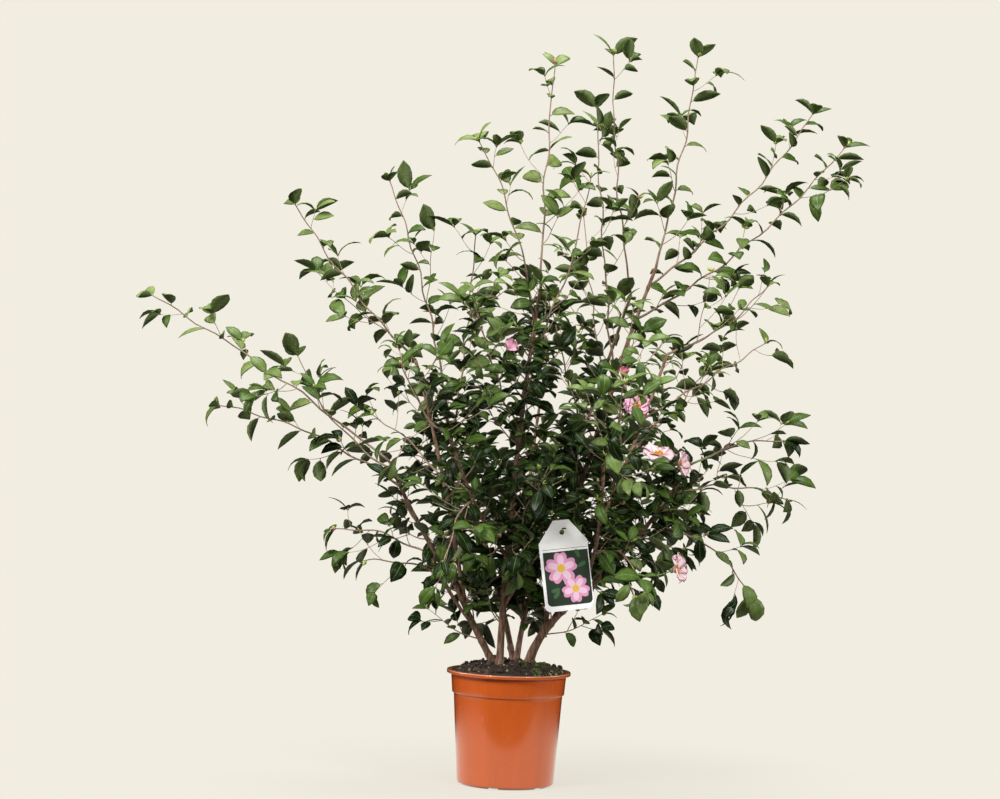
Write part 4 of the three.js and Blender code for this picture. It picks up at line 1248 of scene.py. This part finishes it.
class CAMELLIA_OT_bark(Operator):
    """Makes the stems and boughs, with the relief of their bark"""

    bl_idname = "camellia.bark"
    bl_label = "Bark"

    def execute(self, context):
        colours = context.scene.camellia_plant
        bark = bark_material("bark", (*colours.bark_dark, 1), (*colours.bark_light, 1), (*colours.shoot, 1))
        space = plant()[0]
        for number, limb in enumerate(LIMBS):
            skin = Skin()
            skin.tubes(bark_rings(space.limbs[limb.name], len(limb.start) == 2, number + 1))
            skin.piece("bark_" + limb.name, [bark], "bark", [limb.name])
        return {"FINISHED"}


class CAMELLIA_OT_shoots(Operator):
    """Makes the twigs and shoots of each side of the crown, with their buds"""

    bl_idname = "camellia.shoots"
    bl_label = "Shoots and buds"

    def execute(self, context):
        colours = context.scene.camellia_plant
        shoot = (*colours.shoot, 1)
        old = bark_material("twig_bark", shade(colours.bark_light, 0.9), shade(shoot, 0.8), shoot)
        young = bark_material("shoot_bark", shade(shoot, 0.75), shoot, TONES["young_streak"])
        bud, bud_pink = (plain_growth(name, TONES[name], 0.4) for name in ("bud", "bud_pink"))
        for region in REGIONS:
            grown, nodes = grown_in(region)
            skin, buds = Skin(), Skin()
            for grower in grown:
                if not grower.on_limb:
                    skin.tubes(curve_rings(grower.twigs[: grower.mains], 26, 8), 0)
                sides = grower.twigs[grower.mains : grower.sides]
                shoots = grower.twigs[grower.sides :]
                for twigs, count, corners in ((sides, 12, 6), (shoots, 8, 5)):
                    if twigs:
                        skin.tubes(curve_rings(twigs, count, corners), 1)
                self.add_buds(buds, grower)
            skin.piece("shoots_" + region, [old, young], "bark", nodes)
            buds.piece("buds_" + region, [bud, bud_pink], "foliage", nodes)
        return {"FINISHED"}

    @staticmethod
    def add_buds(skin, grower):
        """Leaf buds at the tips, and pairs of fatter flower buds near the ends of the mains."""
        chance = np.random.default_rng(grower.index)
        twigs = grower.twigs[1:] if grower.on_limb else grower.twigs
        tips = np.array([twig.tip for twig in twigs])
        ways = np.array([twig.tangent(1.0) for twig in twigs])
        size = chance.uniform(0.75, 1.15, len(tips))
        skin.tubes(bud_rings(tips - ways * 0.001, ways, BUD["length"] * size, BUD["girth"] * size), 0)
        on_main = np.arange(len(tips)) < grower.mains
        share = np.where(on_main, FLOWER_BUD["on_mains"], FLOWER_BUD["on_sides"])
        chosen = chance.random(len(tips)) < share
        for offset in (-1, 1):
            aside = unit(ways + offset * unit(chance.normal(size=ways.shape)) * 0.7)[chosen]
            size = chance.uniform(0.7, 1.1, len(aside))
            roots = tips[chosen] - ways[chosen] * 0.002
            rings = bud_rings(roots, aside, FLOWER_BUD["length"] * size, FLOWER_BUD["girth"] * size)
            pink = chance.random(len(aside)) < FLOWER_BUD["pink"]
            skin.tubes(rings, pink.astype(int)[:, None, None])


class CAMELLIA_OT_leaves(Operator):
    """Makes the leaves of each side of the crown"""

    bl_idname = "camellia.leaves"
    bl_label = "Leaves"

    def execute(self, context):
        settings = context.scene.camellia_plant
        names = ("leaf_deep", "leaf_mid", "leaf_fresh", "leaf_young")
        tops = [leaf_top(name, getattr(settings, name)) for name in names]
        # The darker underside goes to the shaded heart of the crown as painted shade; the paler one to the
        # leaves further out.
        under = leaf_under("leaf_under", settings.underside)
        under_pale = leaf_under("leaf_under_pale", shade(settings.underside, 1.9))
        rib = plain_growth("leaf_rib", settings.rib, 0.4)
        for region in REGIONS:
            grown, nodes = grown_in(region)
            leaves = [leaf for grower in grown for leaf in grower.leaves]
            chance = np.random.default_rng(len(leaves))
            widths = settings.leaf_width * chance.uniform(0.86, 1.14, len(leaves))
            folds = chance.uniform(0.1, 0.5, len(leaves))
            skin = Skin()
            skin.tubes(leaf_rings(leaves, widths, folds), leaf_slots(leaves))
            skin.piece("leaves_" + region, [*tops, under, under_pale, rib], "foliage", nodes)
        return {"FINISHED"}


class CAMELLIA_OT_blossom(Operator):
    """Makes the blooms with their stamens, sepals and stalks"""

    bl_idname = "camellia.blossom"
    bl_label = "Blossom"

    def execute(self, context):
        pink = context.scene.camellia_plant.petal
        pale = tuple(0.55 * c + 0.45 * white for c, white in zip(pink, TONES["petal_white"]))
        pinks = [pale, pink, TONES["petal_rose"], TONES["petal_red"]]
        materials = [plain_growth(f"petal_{i}", colour, 0.55, 0.1, 220) for i, colour in enumerate(pinks)]
        rough = {"stamen": 0.5, "anther": 0.6, "sepal": 0.45}
        tuft = [plain_growth(name, TONES[name], roughness) for name, roughness in rough.items()]
        petals, stamens = Skin(), Skin()
        names = {mass.name: index for index, mass in enumerate(MASSES)}
        for number, bloom in enumerate(BLOOMS):
            chance = np.random.default_rng(number + 40)
            petals.tubes(petal_rings(bloom, chance), bloom.pink)
            if bloom.open > 0.3:
                stamens.tubes(stamen_rings(bloom, chance), np.array([0, 0, 1, 1, 1])[:, None])
            facing = frame_of(bloom.facing)[0]
            back = np.array(bloom.centre) - facing * bloom.radius * 0.3
            girth = np.array([bloom.radius * 0.2])
            cup = bud_rings(back[None], facing[None], np.array([bloom.radius * 0.34]), girth)
            stamens.tubes(cup, 2)
            stem = plant()[0].stems[names[bloom.on]]
            stalk = Curve(stem.point(bloom.at), back + facing * 0.002, -UP * 0.006, (0.0012, 0.0012))
            stamens.tubes(curve_rings([stalk], 14, 6), 2)
        petals.piece("petals", materials, "foliage", [])
        stamens.piece("stamens", tuft, "foliage", [])
        return {"FINISHED"}


# ---------------------------------------------------------------- pot, soil and label

POT = {
    "base": 0.09, "floor": 0.003, "lip": 0.006, "collar": 0.036, "collar_radius": 0.107, "step": 0.003,
    "edge": 0.004, "notches": 6, "notch_width": 0.016, "notch_depth": 0.012, "notch_height": 0.004,
    "hollow": 0.0012, "foot": 0.024, "foot_step": 0.002, "centre": 0.003, "round": 0.0011, "round_steps": 4,
    "stretch": 0.007, "corners": 180,
}
MOUND = {
    "radius": 0.104, "corners": 160, "rings": 60, "edge": 0.2072, "top": 0.2265, "lump": 0.0034,
    "lump_size": 0.034, "grain": 0.0014, "grain_size": 0.009, "clods": 90, "clod": (0.0035, 0.0085),
    "crumb": (0.0009, 0.0035), "crumb_shares": (0.62, 0.3, 0.08),
}
BALL = {
    "gap": 0.004, "floor": 0.0045, "bevel": 0.005, "foot": 0.01,
    "side": ((0.0962, 0.163), (0.1005, 0.173)),
}
MOSS = {"count": 420, "first": -1.1, "last": 0.7, "size": (0.0012, 0.0034), "light": 0.3}


class CAMELLIA_OT_pot(Operator):
    """Makes the nursery pot: a turned wall with a collar, a lip and drain notches under its edge"""

    bl_idname = "camellia.pot"
    bl_label = "Pot"

    def execute(self, context):
        settings = context.scene.camellia_pot
        skin = Skin()
        skin.tubes(self.rings(settings))
        skin.piece("pot_shell", [pot_plastic((*settings.plastic, 1), settings.height)], "pot", ["pot"])
        return {"FINISHED"}

    @staticmethod
    def rings(settings):
        """The turned section: up the outside, over the lip and down the inside to the floor."""
        height, rim, wall = settings.height, settings.rim_radius, settings.wall
        base, edge, step, centre = POT["base"], POT["edge"], POT["step"], POT["centre"]
        foot, hollow, floor = base - POT["foot"], POT["hollow"], POT["floor"]
        under_lip = height - POT["lip"]
        ledge = under_lip - POT["collar"]
        upper, lower = POT["collar_radius"], POT["collar_radius"] - step
        section = [
            (centre, hollow), (foot - POT["foot_step"], hollow), (foot, 0), (base - edge, 0), (base, edge),
            (lower - step, ledge), (lower, ledge), (upper, under_lip), (rim, under_lip), (rim, height),
            (upper - wall, height), (lower - wall, ledge + step), (lower - step - wall, ledge - step),
            (base - wall, edge + floor), (base - edge - wall, floor), (centre, floor),
        ]
        profile = divided(rounded(section, POT["round"], POT["round_steps"]), POT["stretch"])
        rings = turned_rings(profile, POT["corners"])
        x, y, z = np.moveaxis(rings, -1, 0)
        around = np.arctan2(y, x) * POT["notches"] / (2 * math.pi) - 0.25
        off_middle = np.abs(around - np.round(around)) * 2 * math.pi * base / POT["notches"]
        half = POT["notch_width"] / 2
        outer = np.hypot(x, y) > base - POT["notch_depth"]
        inside = (1 - smooth_step(half - 0.001, half + 0.001, off_middle)) * outer
        rings[..., 2] = np.where(z < POT["notch_height"], np.maximum(z, POT["notch_height"] * inside), z)
        return rings


def mound_height(x, y):
    """The soil's surface: it rises steeply from the edge and then gently, with lumps of two sizes."""
    away = np.hypot(x, y) / MOUND["radius"]
    place = np.stack([x, y, 0 * x], axis=-1)
    lumps = MOUND["lump"] * ripples(place, MOUND["lump_size"], 3)
    lumps = lumps + MOUND["grain"] * ripples(place, MOUND["grain_size"], 4)
    rise = (MOUND["top"] - MOUND["edge"]) * np.maximum(0, 1 - away**2) ** 0.8
    return MOUND["edge"] + rise + lumps * np.maximum(0, 1 - away**6)


class CAMELLIA_OT_soil(Operator):
    """Makes the soil that fills the pot, the crumbs and bark chips on it, and a patch of moss"""

    bl_idname = "camellia.soil"
    bl_label = "Soil"

    def execute(self, context):
        settings = context.scene.camellia_pot
        dark = (*settings.soil, 1)
        soil = soil_material("soil", dark, shade(dark, 2.2))
        skin = Skin()
        skin.tubes(self.rings())
        skin.piece("soil_mound", [soil], "soil", ["soil"])
        chance = np.random.default_rng(11)
        crumbs = Skin()
        round_it = (0, 2 * math.pi)
        places, sizes = self.scatter(chance, MOUND["clods"], round_it, MOUND["clod"])
        brown_ones = chance.random(len(sizes)) < 0.25
        crumbs.tubes(lump_rings(places, sizes, 14, 0.8, 7, 9), brown_ones[:, None, None])
        places, sizes = self.scatter(chance, settings.crumbs, round_it, MOUND["crumb"])
        shades = chance.choice(3, len(sizes), p=MOUND["crumb_shares"])
        crumbs.tubes(lump_rings(places, sizes, 12), shades[:, None, None])
        places, sizes = self.scatter(chance, MOSS["count"], (MOSS["first"], MOSS["last"]), MOSS["size"])
        light_ones = chance.random(len(sizes)) < MOSS["light"]
        crumbs.tubes(lump_rings(places, sizes, 13), 3 + light_ones[:, None, None])
        brown = soil_material("crumb_brown", shade(dark, 2.0), shade(dark, 4.5))
        chip = soil_material("crumb_pale", TONES["chip_dark"], TONES["chip_light"])
        moss = soil_material("moss", TONES["moss_dark"], TONES["moss"])
        moss_light = soil_material("moss_light", TONES["moss_fresh"], TONES["moss_light"])
        crumbs.piece("soil_crumbs", [soil, brown, chip, moss, moss_light], "soil", [])
        return {"FINISHED"}

    @staticmethod
    def rings():
        """The root ball: its underside, its wall just inside the pot's, and the mound on top."""
        lower, floor = POT["base"] - BALL["gap"], BALL["floor"]
        under = [(POT["centre"], floor), (lower - BALL["bevel"], floor), (lower, BALL["foot"])]
        side = [*under, *BALL["side"]]
        top = np.linspace(1, 0.02, MOUND["rings"]) * MOUND["radius"]
        profile = np.concatenate([side, np.stack([top, 0 * top + MOUND["edge"]], axis=-1)])
        rings = turned_rings(profile, MOUND["corners"])
        rings[0, len(side) :, :, 2] = mound_height(*np.moveaxis(rings[0, len(side) :, :, :2], -1, 0))
        return rings

    @staticmethod
    def scatter(chance, count, sector, size):
        """Places spread over a sector of the mound, and sizes, of which most are small."""
        small, large = size
        away = (MOUND["radius"] - large * 0.8) * np.sqrt(chance.uniform(0.02, 1, count))
        turn = chance.uniform(*sector, count)
        x, y = away * np.cos(turn), away * np.sin(turn)
        sizes = small + (large - small) * chance.random(count) ** 3
        return np.stack([x, y, mound_height(x, y) + sizes * 0.3], axis=-1), sizes


class Card:
    """The plane of the label: its hole hangs on its twig, and it leans a little back and to one side."""

    def __init__(self, space):
        tilt, lean = math.radians(LABEL["tilt"]), math.radians(90 - LABEL["backwards"])
        twig = space.limbs["label_twig"]
        hang = space.hang + UP * (twig.radius(LABEL["hang_at"]) + 0.0003)
        self.across = np.array([math.cos(tilt), 0, math.sin(tilt)])
        aside = np.array([-math.sin(tilt), 0, math.cos(tilt)])
        back = np.array([0, 1.0, 0])
        self.up = aside * math.sin(lean) + back * math.cos(lean)
        self.out = aside * math.cos(lean) - back * math.sin(lean)
        down = LABEL["neck"] - LABEL["hole_drop"] + LABEL["hole_radius"]
        self.origin = hang - self.up * down

    def place(self, x, y, proud):
        """The point at x across and y up from the card's shoulder, so far out from its front face."""
        along = x[..., None] * self.across + y[..., None] * self.up
        return self.origin + along + (LABEL["thick"] / 2 + proud)[..., None] * self.out

    def field(self, skin, x, y, proud, slot):
        """Adds a flat printed shape from its outline: a closed slab as thick as it is proud."""
        rings = [self.place(x, y, np.full(x.shape, height)) for height in (0.0, proud)]
        skin.tubes(np.stack(rings)[None], slot)


PRINT = {
    "bottom": 0.006, "top": 0.02, "side": 0.0035, "corner": 0.008, "rule": (0.004, 0.005),
    "ground": 0.00012, "leaf": 0.0002, "petal": 0.00024, "inner": 0.00036, "step": 0.00002, "eye": 0.0006,
    "leaf_size": (0.016, 0.009), "eye_size": 0.24, "notch": 0.12,
}
PRINT_BLOSSOMS = ((-0.01, -0.05, 0.03, 0.3), (0.012, -0.088, 0.026, 0.9))
PRINT_LEAVES = ((0.02, -0.05, 0.5), (-0.016, -0.086, 3.4), (-0.017, -0.09, 4.0), (0.024, -0.034, 1.9))
PRINT_TONES = {
    "print_ground": (0.03, 0.05, 0.03, 1), "print_leaf": (0.07, 0.16, 0.06, 1),
    "print_pink": (0.78, 0.33, 0.54, 1), "print_pale": (0.88, 0.6, 0.74, 1),
    "print_eye": (0.8, 0.5, 0.06, 1), "print_rule": (0.35, 0.35, 0.33, 1),
}


def petal_outline(cx, cy, turn, length, width, notch=0.0):
    """The outline of a petal or leaf that sets out along turn, widest past its middle, with a notch.

    With a once round and v its share of the length, the half width is sin(a)^0.85 (0.55 + 0.45 v)."""
    a = np.linspace(0, 2 * math.pi, 28, endpoint=False)
    v = (1 - np.cos(a)) / 2
    half = np.sign(np.sin(a)) * width / 2 * np.abs(np.sin(a)) ** 0.85 * (0.55 + 0.45 * v)
    along = length * (v - notch * np.exp(-((half / (0.16 * width)) ** 2)) * v**4)
    x = cx + along * math.cos(turn) - half * math.sin(turn)
    y = cy + along * math.sin(turn) + half * math.cos(turn)
    return x, y


class CAMELLIA_OT_label(Operator):
    """Finishes the hang label: white card, with a picture of two plain blossoms and no words"""

    bl_idname = "camellia.label"
    bl_label = "Label"

    def execute(self, context):
        # The label's card glows a little: painted light, which brightens it where the leaves above shade
        # it.
        card = card_material("card", context.scene.camellia_pot.card, painted_glow=0.14)
        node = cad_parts["label"]
        node.data.materials.clear()
        node.data.materials.append(card)
        plane, skin = Card(plant()[0]), Skin()
        self.add_ground(plane, skin)
        for x, y, size, turn in PRINT_BLOSSOMS:
            self.add_blossom(plane, skin, x, y, size, turn)
        for x, y, turn in PRINT_LEAVES:
            plane.field(skin, *petal_outline(x, y, turn, *PRINT["leaf_size"]), PRINT["leaf"], 1)
        materials = [card_material(name, colour) for name, colour in PRINT_TONES.items()]
        skin.piece("label_print", materials, "label", [], smooth=False)
        return {"FINISHED"}

    @staticmethod
    def add_ground(plane, skin):
        """The picture's dark ground with round lower corners, and a thin rule above it."""
        low, high = PRINT["bottom"] - LABEL["height"], -PRINT["top"]
        half = LABEL["width"] / 2 - PRINT["side"]
        a, corner = np.linspace(-math.pi / 2, 0, 7), PRINT["corner"]
        round_x, round_y = half - corner + corner * np.cos(a), low + corner + corner * np.sin(a)
        x = np.concatenate([round_x, [half, -half], -round_x[::-1]])
        y = np.concatenate([round_y, [high, high], round_y[::-1]])
        plane.field(skin, x, y, PRINT["ground"], 0)
        rule = np.array([-half, half, half, -half]), high + np.repeat(PRINT["rule"], 2)
        plane.field(skin, *rule, PRINT["ground"], 5)

    @staticmethod
    def add_blossom(plane, skin, x, y, size, turn):
        """A plain blossom: five petals, each with a paler middle, round a yellow eye."""
        for i in range(5):
            way, over = turn + i * 2 * math.pi / 5, i * PRINT["step"]
            outer = petal_outline(x, y, way, size, size * 0.95, PRINT["notch"])
            plane.field(skin, *outer, PRINT["petal"] + over, 2)
            inner = petal_outline(x, y, way, size * 0.8, size * 0.5)
            plane.field(skin, *inner, PRINT["inner"] + over, 3)
        a = np.linspace(0, 2 * math.pi, 24, endpoint=False)
        eye = size * PRINT["eye_size"] * (1 + 0.12 * np.cos(8 * a))
        plane.field(skin, x + eye * np.cos(a), y + eye * np.sin(a), PRINT["eye"], 4)


# ---------------------------------------------------------------- the stage

FLOOR = {
    "radius": 1.2, "near": 0.4, "far": 0.9, "drop": 0.0004, "corners": 96, "shade": 0.1, "glow": 0.8,
    "front": -0.38, "edge": 0.03,
}
LAMPS = {
    "key": ((-3.2, -4.2, 4.8), 2.2, 1.1),
    "fill": ((4.2, -4.6, 3.6), 2.2, 0.62),
    "top": ((0.3, 0.8, 5.8), 2.8, 0.6),
    "left": ((-4.6, 0.6, 1.6), 1.6, 0.22),
    "right": ((4.6, 0.6, 1.6), 1.6, 0.16),
}
LAMPS_AIM = (0, 0, 0.6)
VIEW = {"side": -0.034, "height": 0.712, "roll": 2, "sensor": 36}


class CAMELLIA_OT_stage(Operator):
    """Sets a plain pale floor that fades into the same pale distance, soft light, and the camera"""

    bl_idname = "camellia.stage"
    bl_label = "Stage"

    def execute(self, context):
        settings = context.scene.camellia_stage
        self.make_floor((*settings.backdrop, 1))
        for name, (location, size, share) in LAMPS.items():
            self.make_lamp(name, location, size, settings.light * share)
        self.make_world(context.scene, settings)
        context.scene.view_settings.view_transform = "Standard"
        self.make_camera(context.scene, settings)
        return {"FINISHED"}

    @staticmethod
    def make_floor(colour):
        """A level disc: rings of growing radius round the pot. It lights nothing, and shows in gloss."""
        radii = (0.01, FLOOR["near"], FLOOR["radius"])
        points = turned_rings([(r, -FLOOR["drop"]) for r in radii], FLOOR["corners"]).reshape(-1, 3)
        number = np.arange(len(points)).reshape(-1, FLOOR["corners"])
        beside = np.roll(number, -1, axis=1)
        faces = np.stack([number[:-1], number[1:], beside[1:], beside[:-1]], axis=-1).reshape(-1, 4)
        mesh = bpy.data.meshes.new("floor")
        mesh.from_pydata(points.tolist(), [], [*faces.tolist(), number[0].tolist()])
        mesh.materials.append(floor_material(colour))
        floor = bpy.data.objects.new("floor", mesh)
        floor.visible_diffuse = False
        bpy.context.scene.collection.objects.link(floor)

    @staticmethod
    def make_lamp(name, location, size, power):
        """A square soft light that faces the crown and isn't seen itself."""
        light = bpy.data.lights.new(name, "AREA")
        light.size, light.energy = size, power
        lamp = bpy.data.objects.new(name, light)
        lamp.location = location
        lamp.rotation_euler = aim(location, LAMPS_AIM).to_euler()
        lamp.visible_camera = False
        bpy.context.scene.collection.objects.link(lamp)

    @staticmethod
    def make_world(scene, settings):
        """A dim pale room, which shows as the plain backdrop."""
        world = bpy.data.worlds.new("studio")
        world.use_nodes = True
        tree = world.node_tree
        room = tree.nodes["Background"]
        room.inputs["Color"].default_value = (*settings.backdrop, 1)
        room.inputs["Strength"].default_value = settings.room
        seen = tree.nodes.new("ShaderNodeBackground")
        seen.inputs["Color"].default_value = (*settings.backdrop, 1)
        mix = tree.nodes.new("ShaderNodeMixShader")
        rays = tree.nodes.new("ShaderNodeLightPath")
        tree.links.new(rays.outputs["Is Camera Ray"], mix.inputs[0])
        tree.links.new(room.outputs[0], mix.inputs[1])
        tree.links.new(seen.outputs[0], mix.inputs[2])
        tree.links.new(mix.outputs[0], tree.nodes["World Output"].inputs["Surface"])
        scene.world = world
        world.cycles_visibility.glossy = False

    @staticmethod
    def make_camera(scene, settings):
        """A camera that takes in the whole plant, turned a little on its own axis."""
        camera = bpy.data.cameras.new("camera")
        camera.lens, camera.sensor_width = settings.lens, VIEW["sensor"]
        view = bpy.data.objects.new("camera", camera)
        view.location = (VIEW["side"], -settings.distance, settings.camera_height)
        turn = aim(view.location, (VIEW["side"], 0, VIEW["height"]))
        view.rotation_euler = (turn @ Quaternion((0, 0, 1), math.radians(VIEW["roll"]))).to_euler()
        scene.collection.objects.link(view)
        scene.camera = view


def aim(place, target):
    """The turn that points a light or a camera from a place to a target."""
    return (Vector(target) - Vector(place)).to_track_quat("-Z", "Y")


def floor_material(colour):
    """Pale lit paper that fades out to nothing away from the pot, and ends sooner in front of it."""
    glow = {"emission_color": colour, "emission_strength": FLOOR["glow"]}
    s = Shader("backdrop_paper", specular_ior_level=0.1, roughness=0.95, **glow)
    colour = shade(colour, FLOOR["shade"])
    x, y, _ = s.split(s.place)
    away = s.node("ShaderNodeMath", {"operation": "SQRT"}, x * x + y * y)
    behind = y.between(FLOOR["front"] - FLOOR["edge"], FLOOR["front"] + FLOOR["edge"])
    s.feed(s.surface.inputs["Alpha"], (1 - away.between(FLOOR["near"], FLOOR["far"])) * behind)
    tone = s.ramp(s.noise(40, 3), (0.3, shade(colour, 0.995)), (0.7, shade(colour, 1.005)))
    s.feed(s.surface.inputs["Base Color"], tone)
    return s.material


class CAMELLIA_PT_panel(Panel):
    """Lists the settings and the pieces in the sidebar"""

    bl_label = "Camellia"
    bl_space_type = "VIEW_3D"
    bl_region_type = "UI"
    bl_category = "Camellia"

    def draw(self, context):
        for group, pieces in SECTIONS.items():
            settings = getattr(context.scene, group)
            box = self.layout.box()
            for key in type(settings).__annotations__:
                box.prop(settings, key)
            for piece in pieces:
                box.operator(piece.bl_idname)


GROUPS = {
    "camellia_plant": CamelliaPlantSettings,
    "camellia_pot": CamelliaPotSettings,
    "camellia_stage": CamelliaStageSettings,
}
SECTIONS = {
    "camellia_plant": (CAMELLIA_OT_bark, CAMELLIA_OT_shoots, CAMELLIA_OT_leaves, CAMELLIA_OT_blossom),
    "camellia_pot": (CAMELLIA_OT_pot, CAMELLIA_OT_soil, CAMELLIA_OT_label),
    "camellia_stage": (CAMELLIA_OT_stage,),
}
PIECES = [piece for pieces in SECTIONS.values() for piece in pieces]
CLASSES = (*GROUPS.values(), *PIECES, CAMELLIA_PT_panel)


def register():
    """Adds the classes and the scene's settings."""
    for kind in CLASSES:
        bpy.utils.register_class(kind)
    for name, kind in GROUPS.items():
        setattr(bpy.types.Scene, name, PointerProperty(type=kind))


def unregister():
    """Takes them away again."""
    for name in GROUPS:
        delattr(bpy.types.Scene, name)
    for kind in reversed(CLASSES):
        bpy.utils.unregister_class(kind)


def main():
    """Makes every piece in order."""
    register()
    bpy.ops.camellia.stage()
    bpy.ops.camellia.bark()
    bpy.ops.camellia.shoots()
    bpy.ops.camellia.leaves()
    bpy.ops.camellia.blossom()
    bpy.ops.camellia.pot()
    bpy.ops.camellia.soil()
    bpy.ops.camellia.label()
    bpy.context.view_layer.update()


if __name__ == "__main__":
    main()
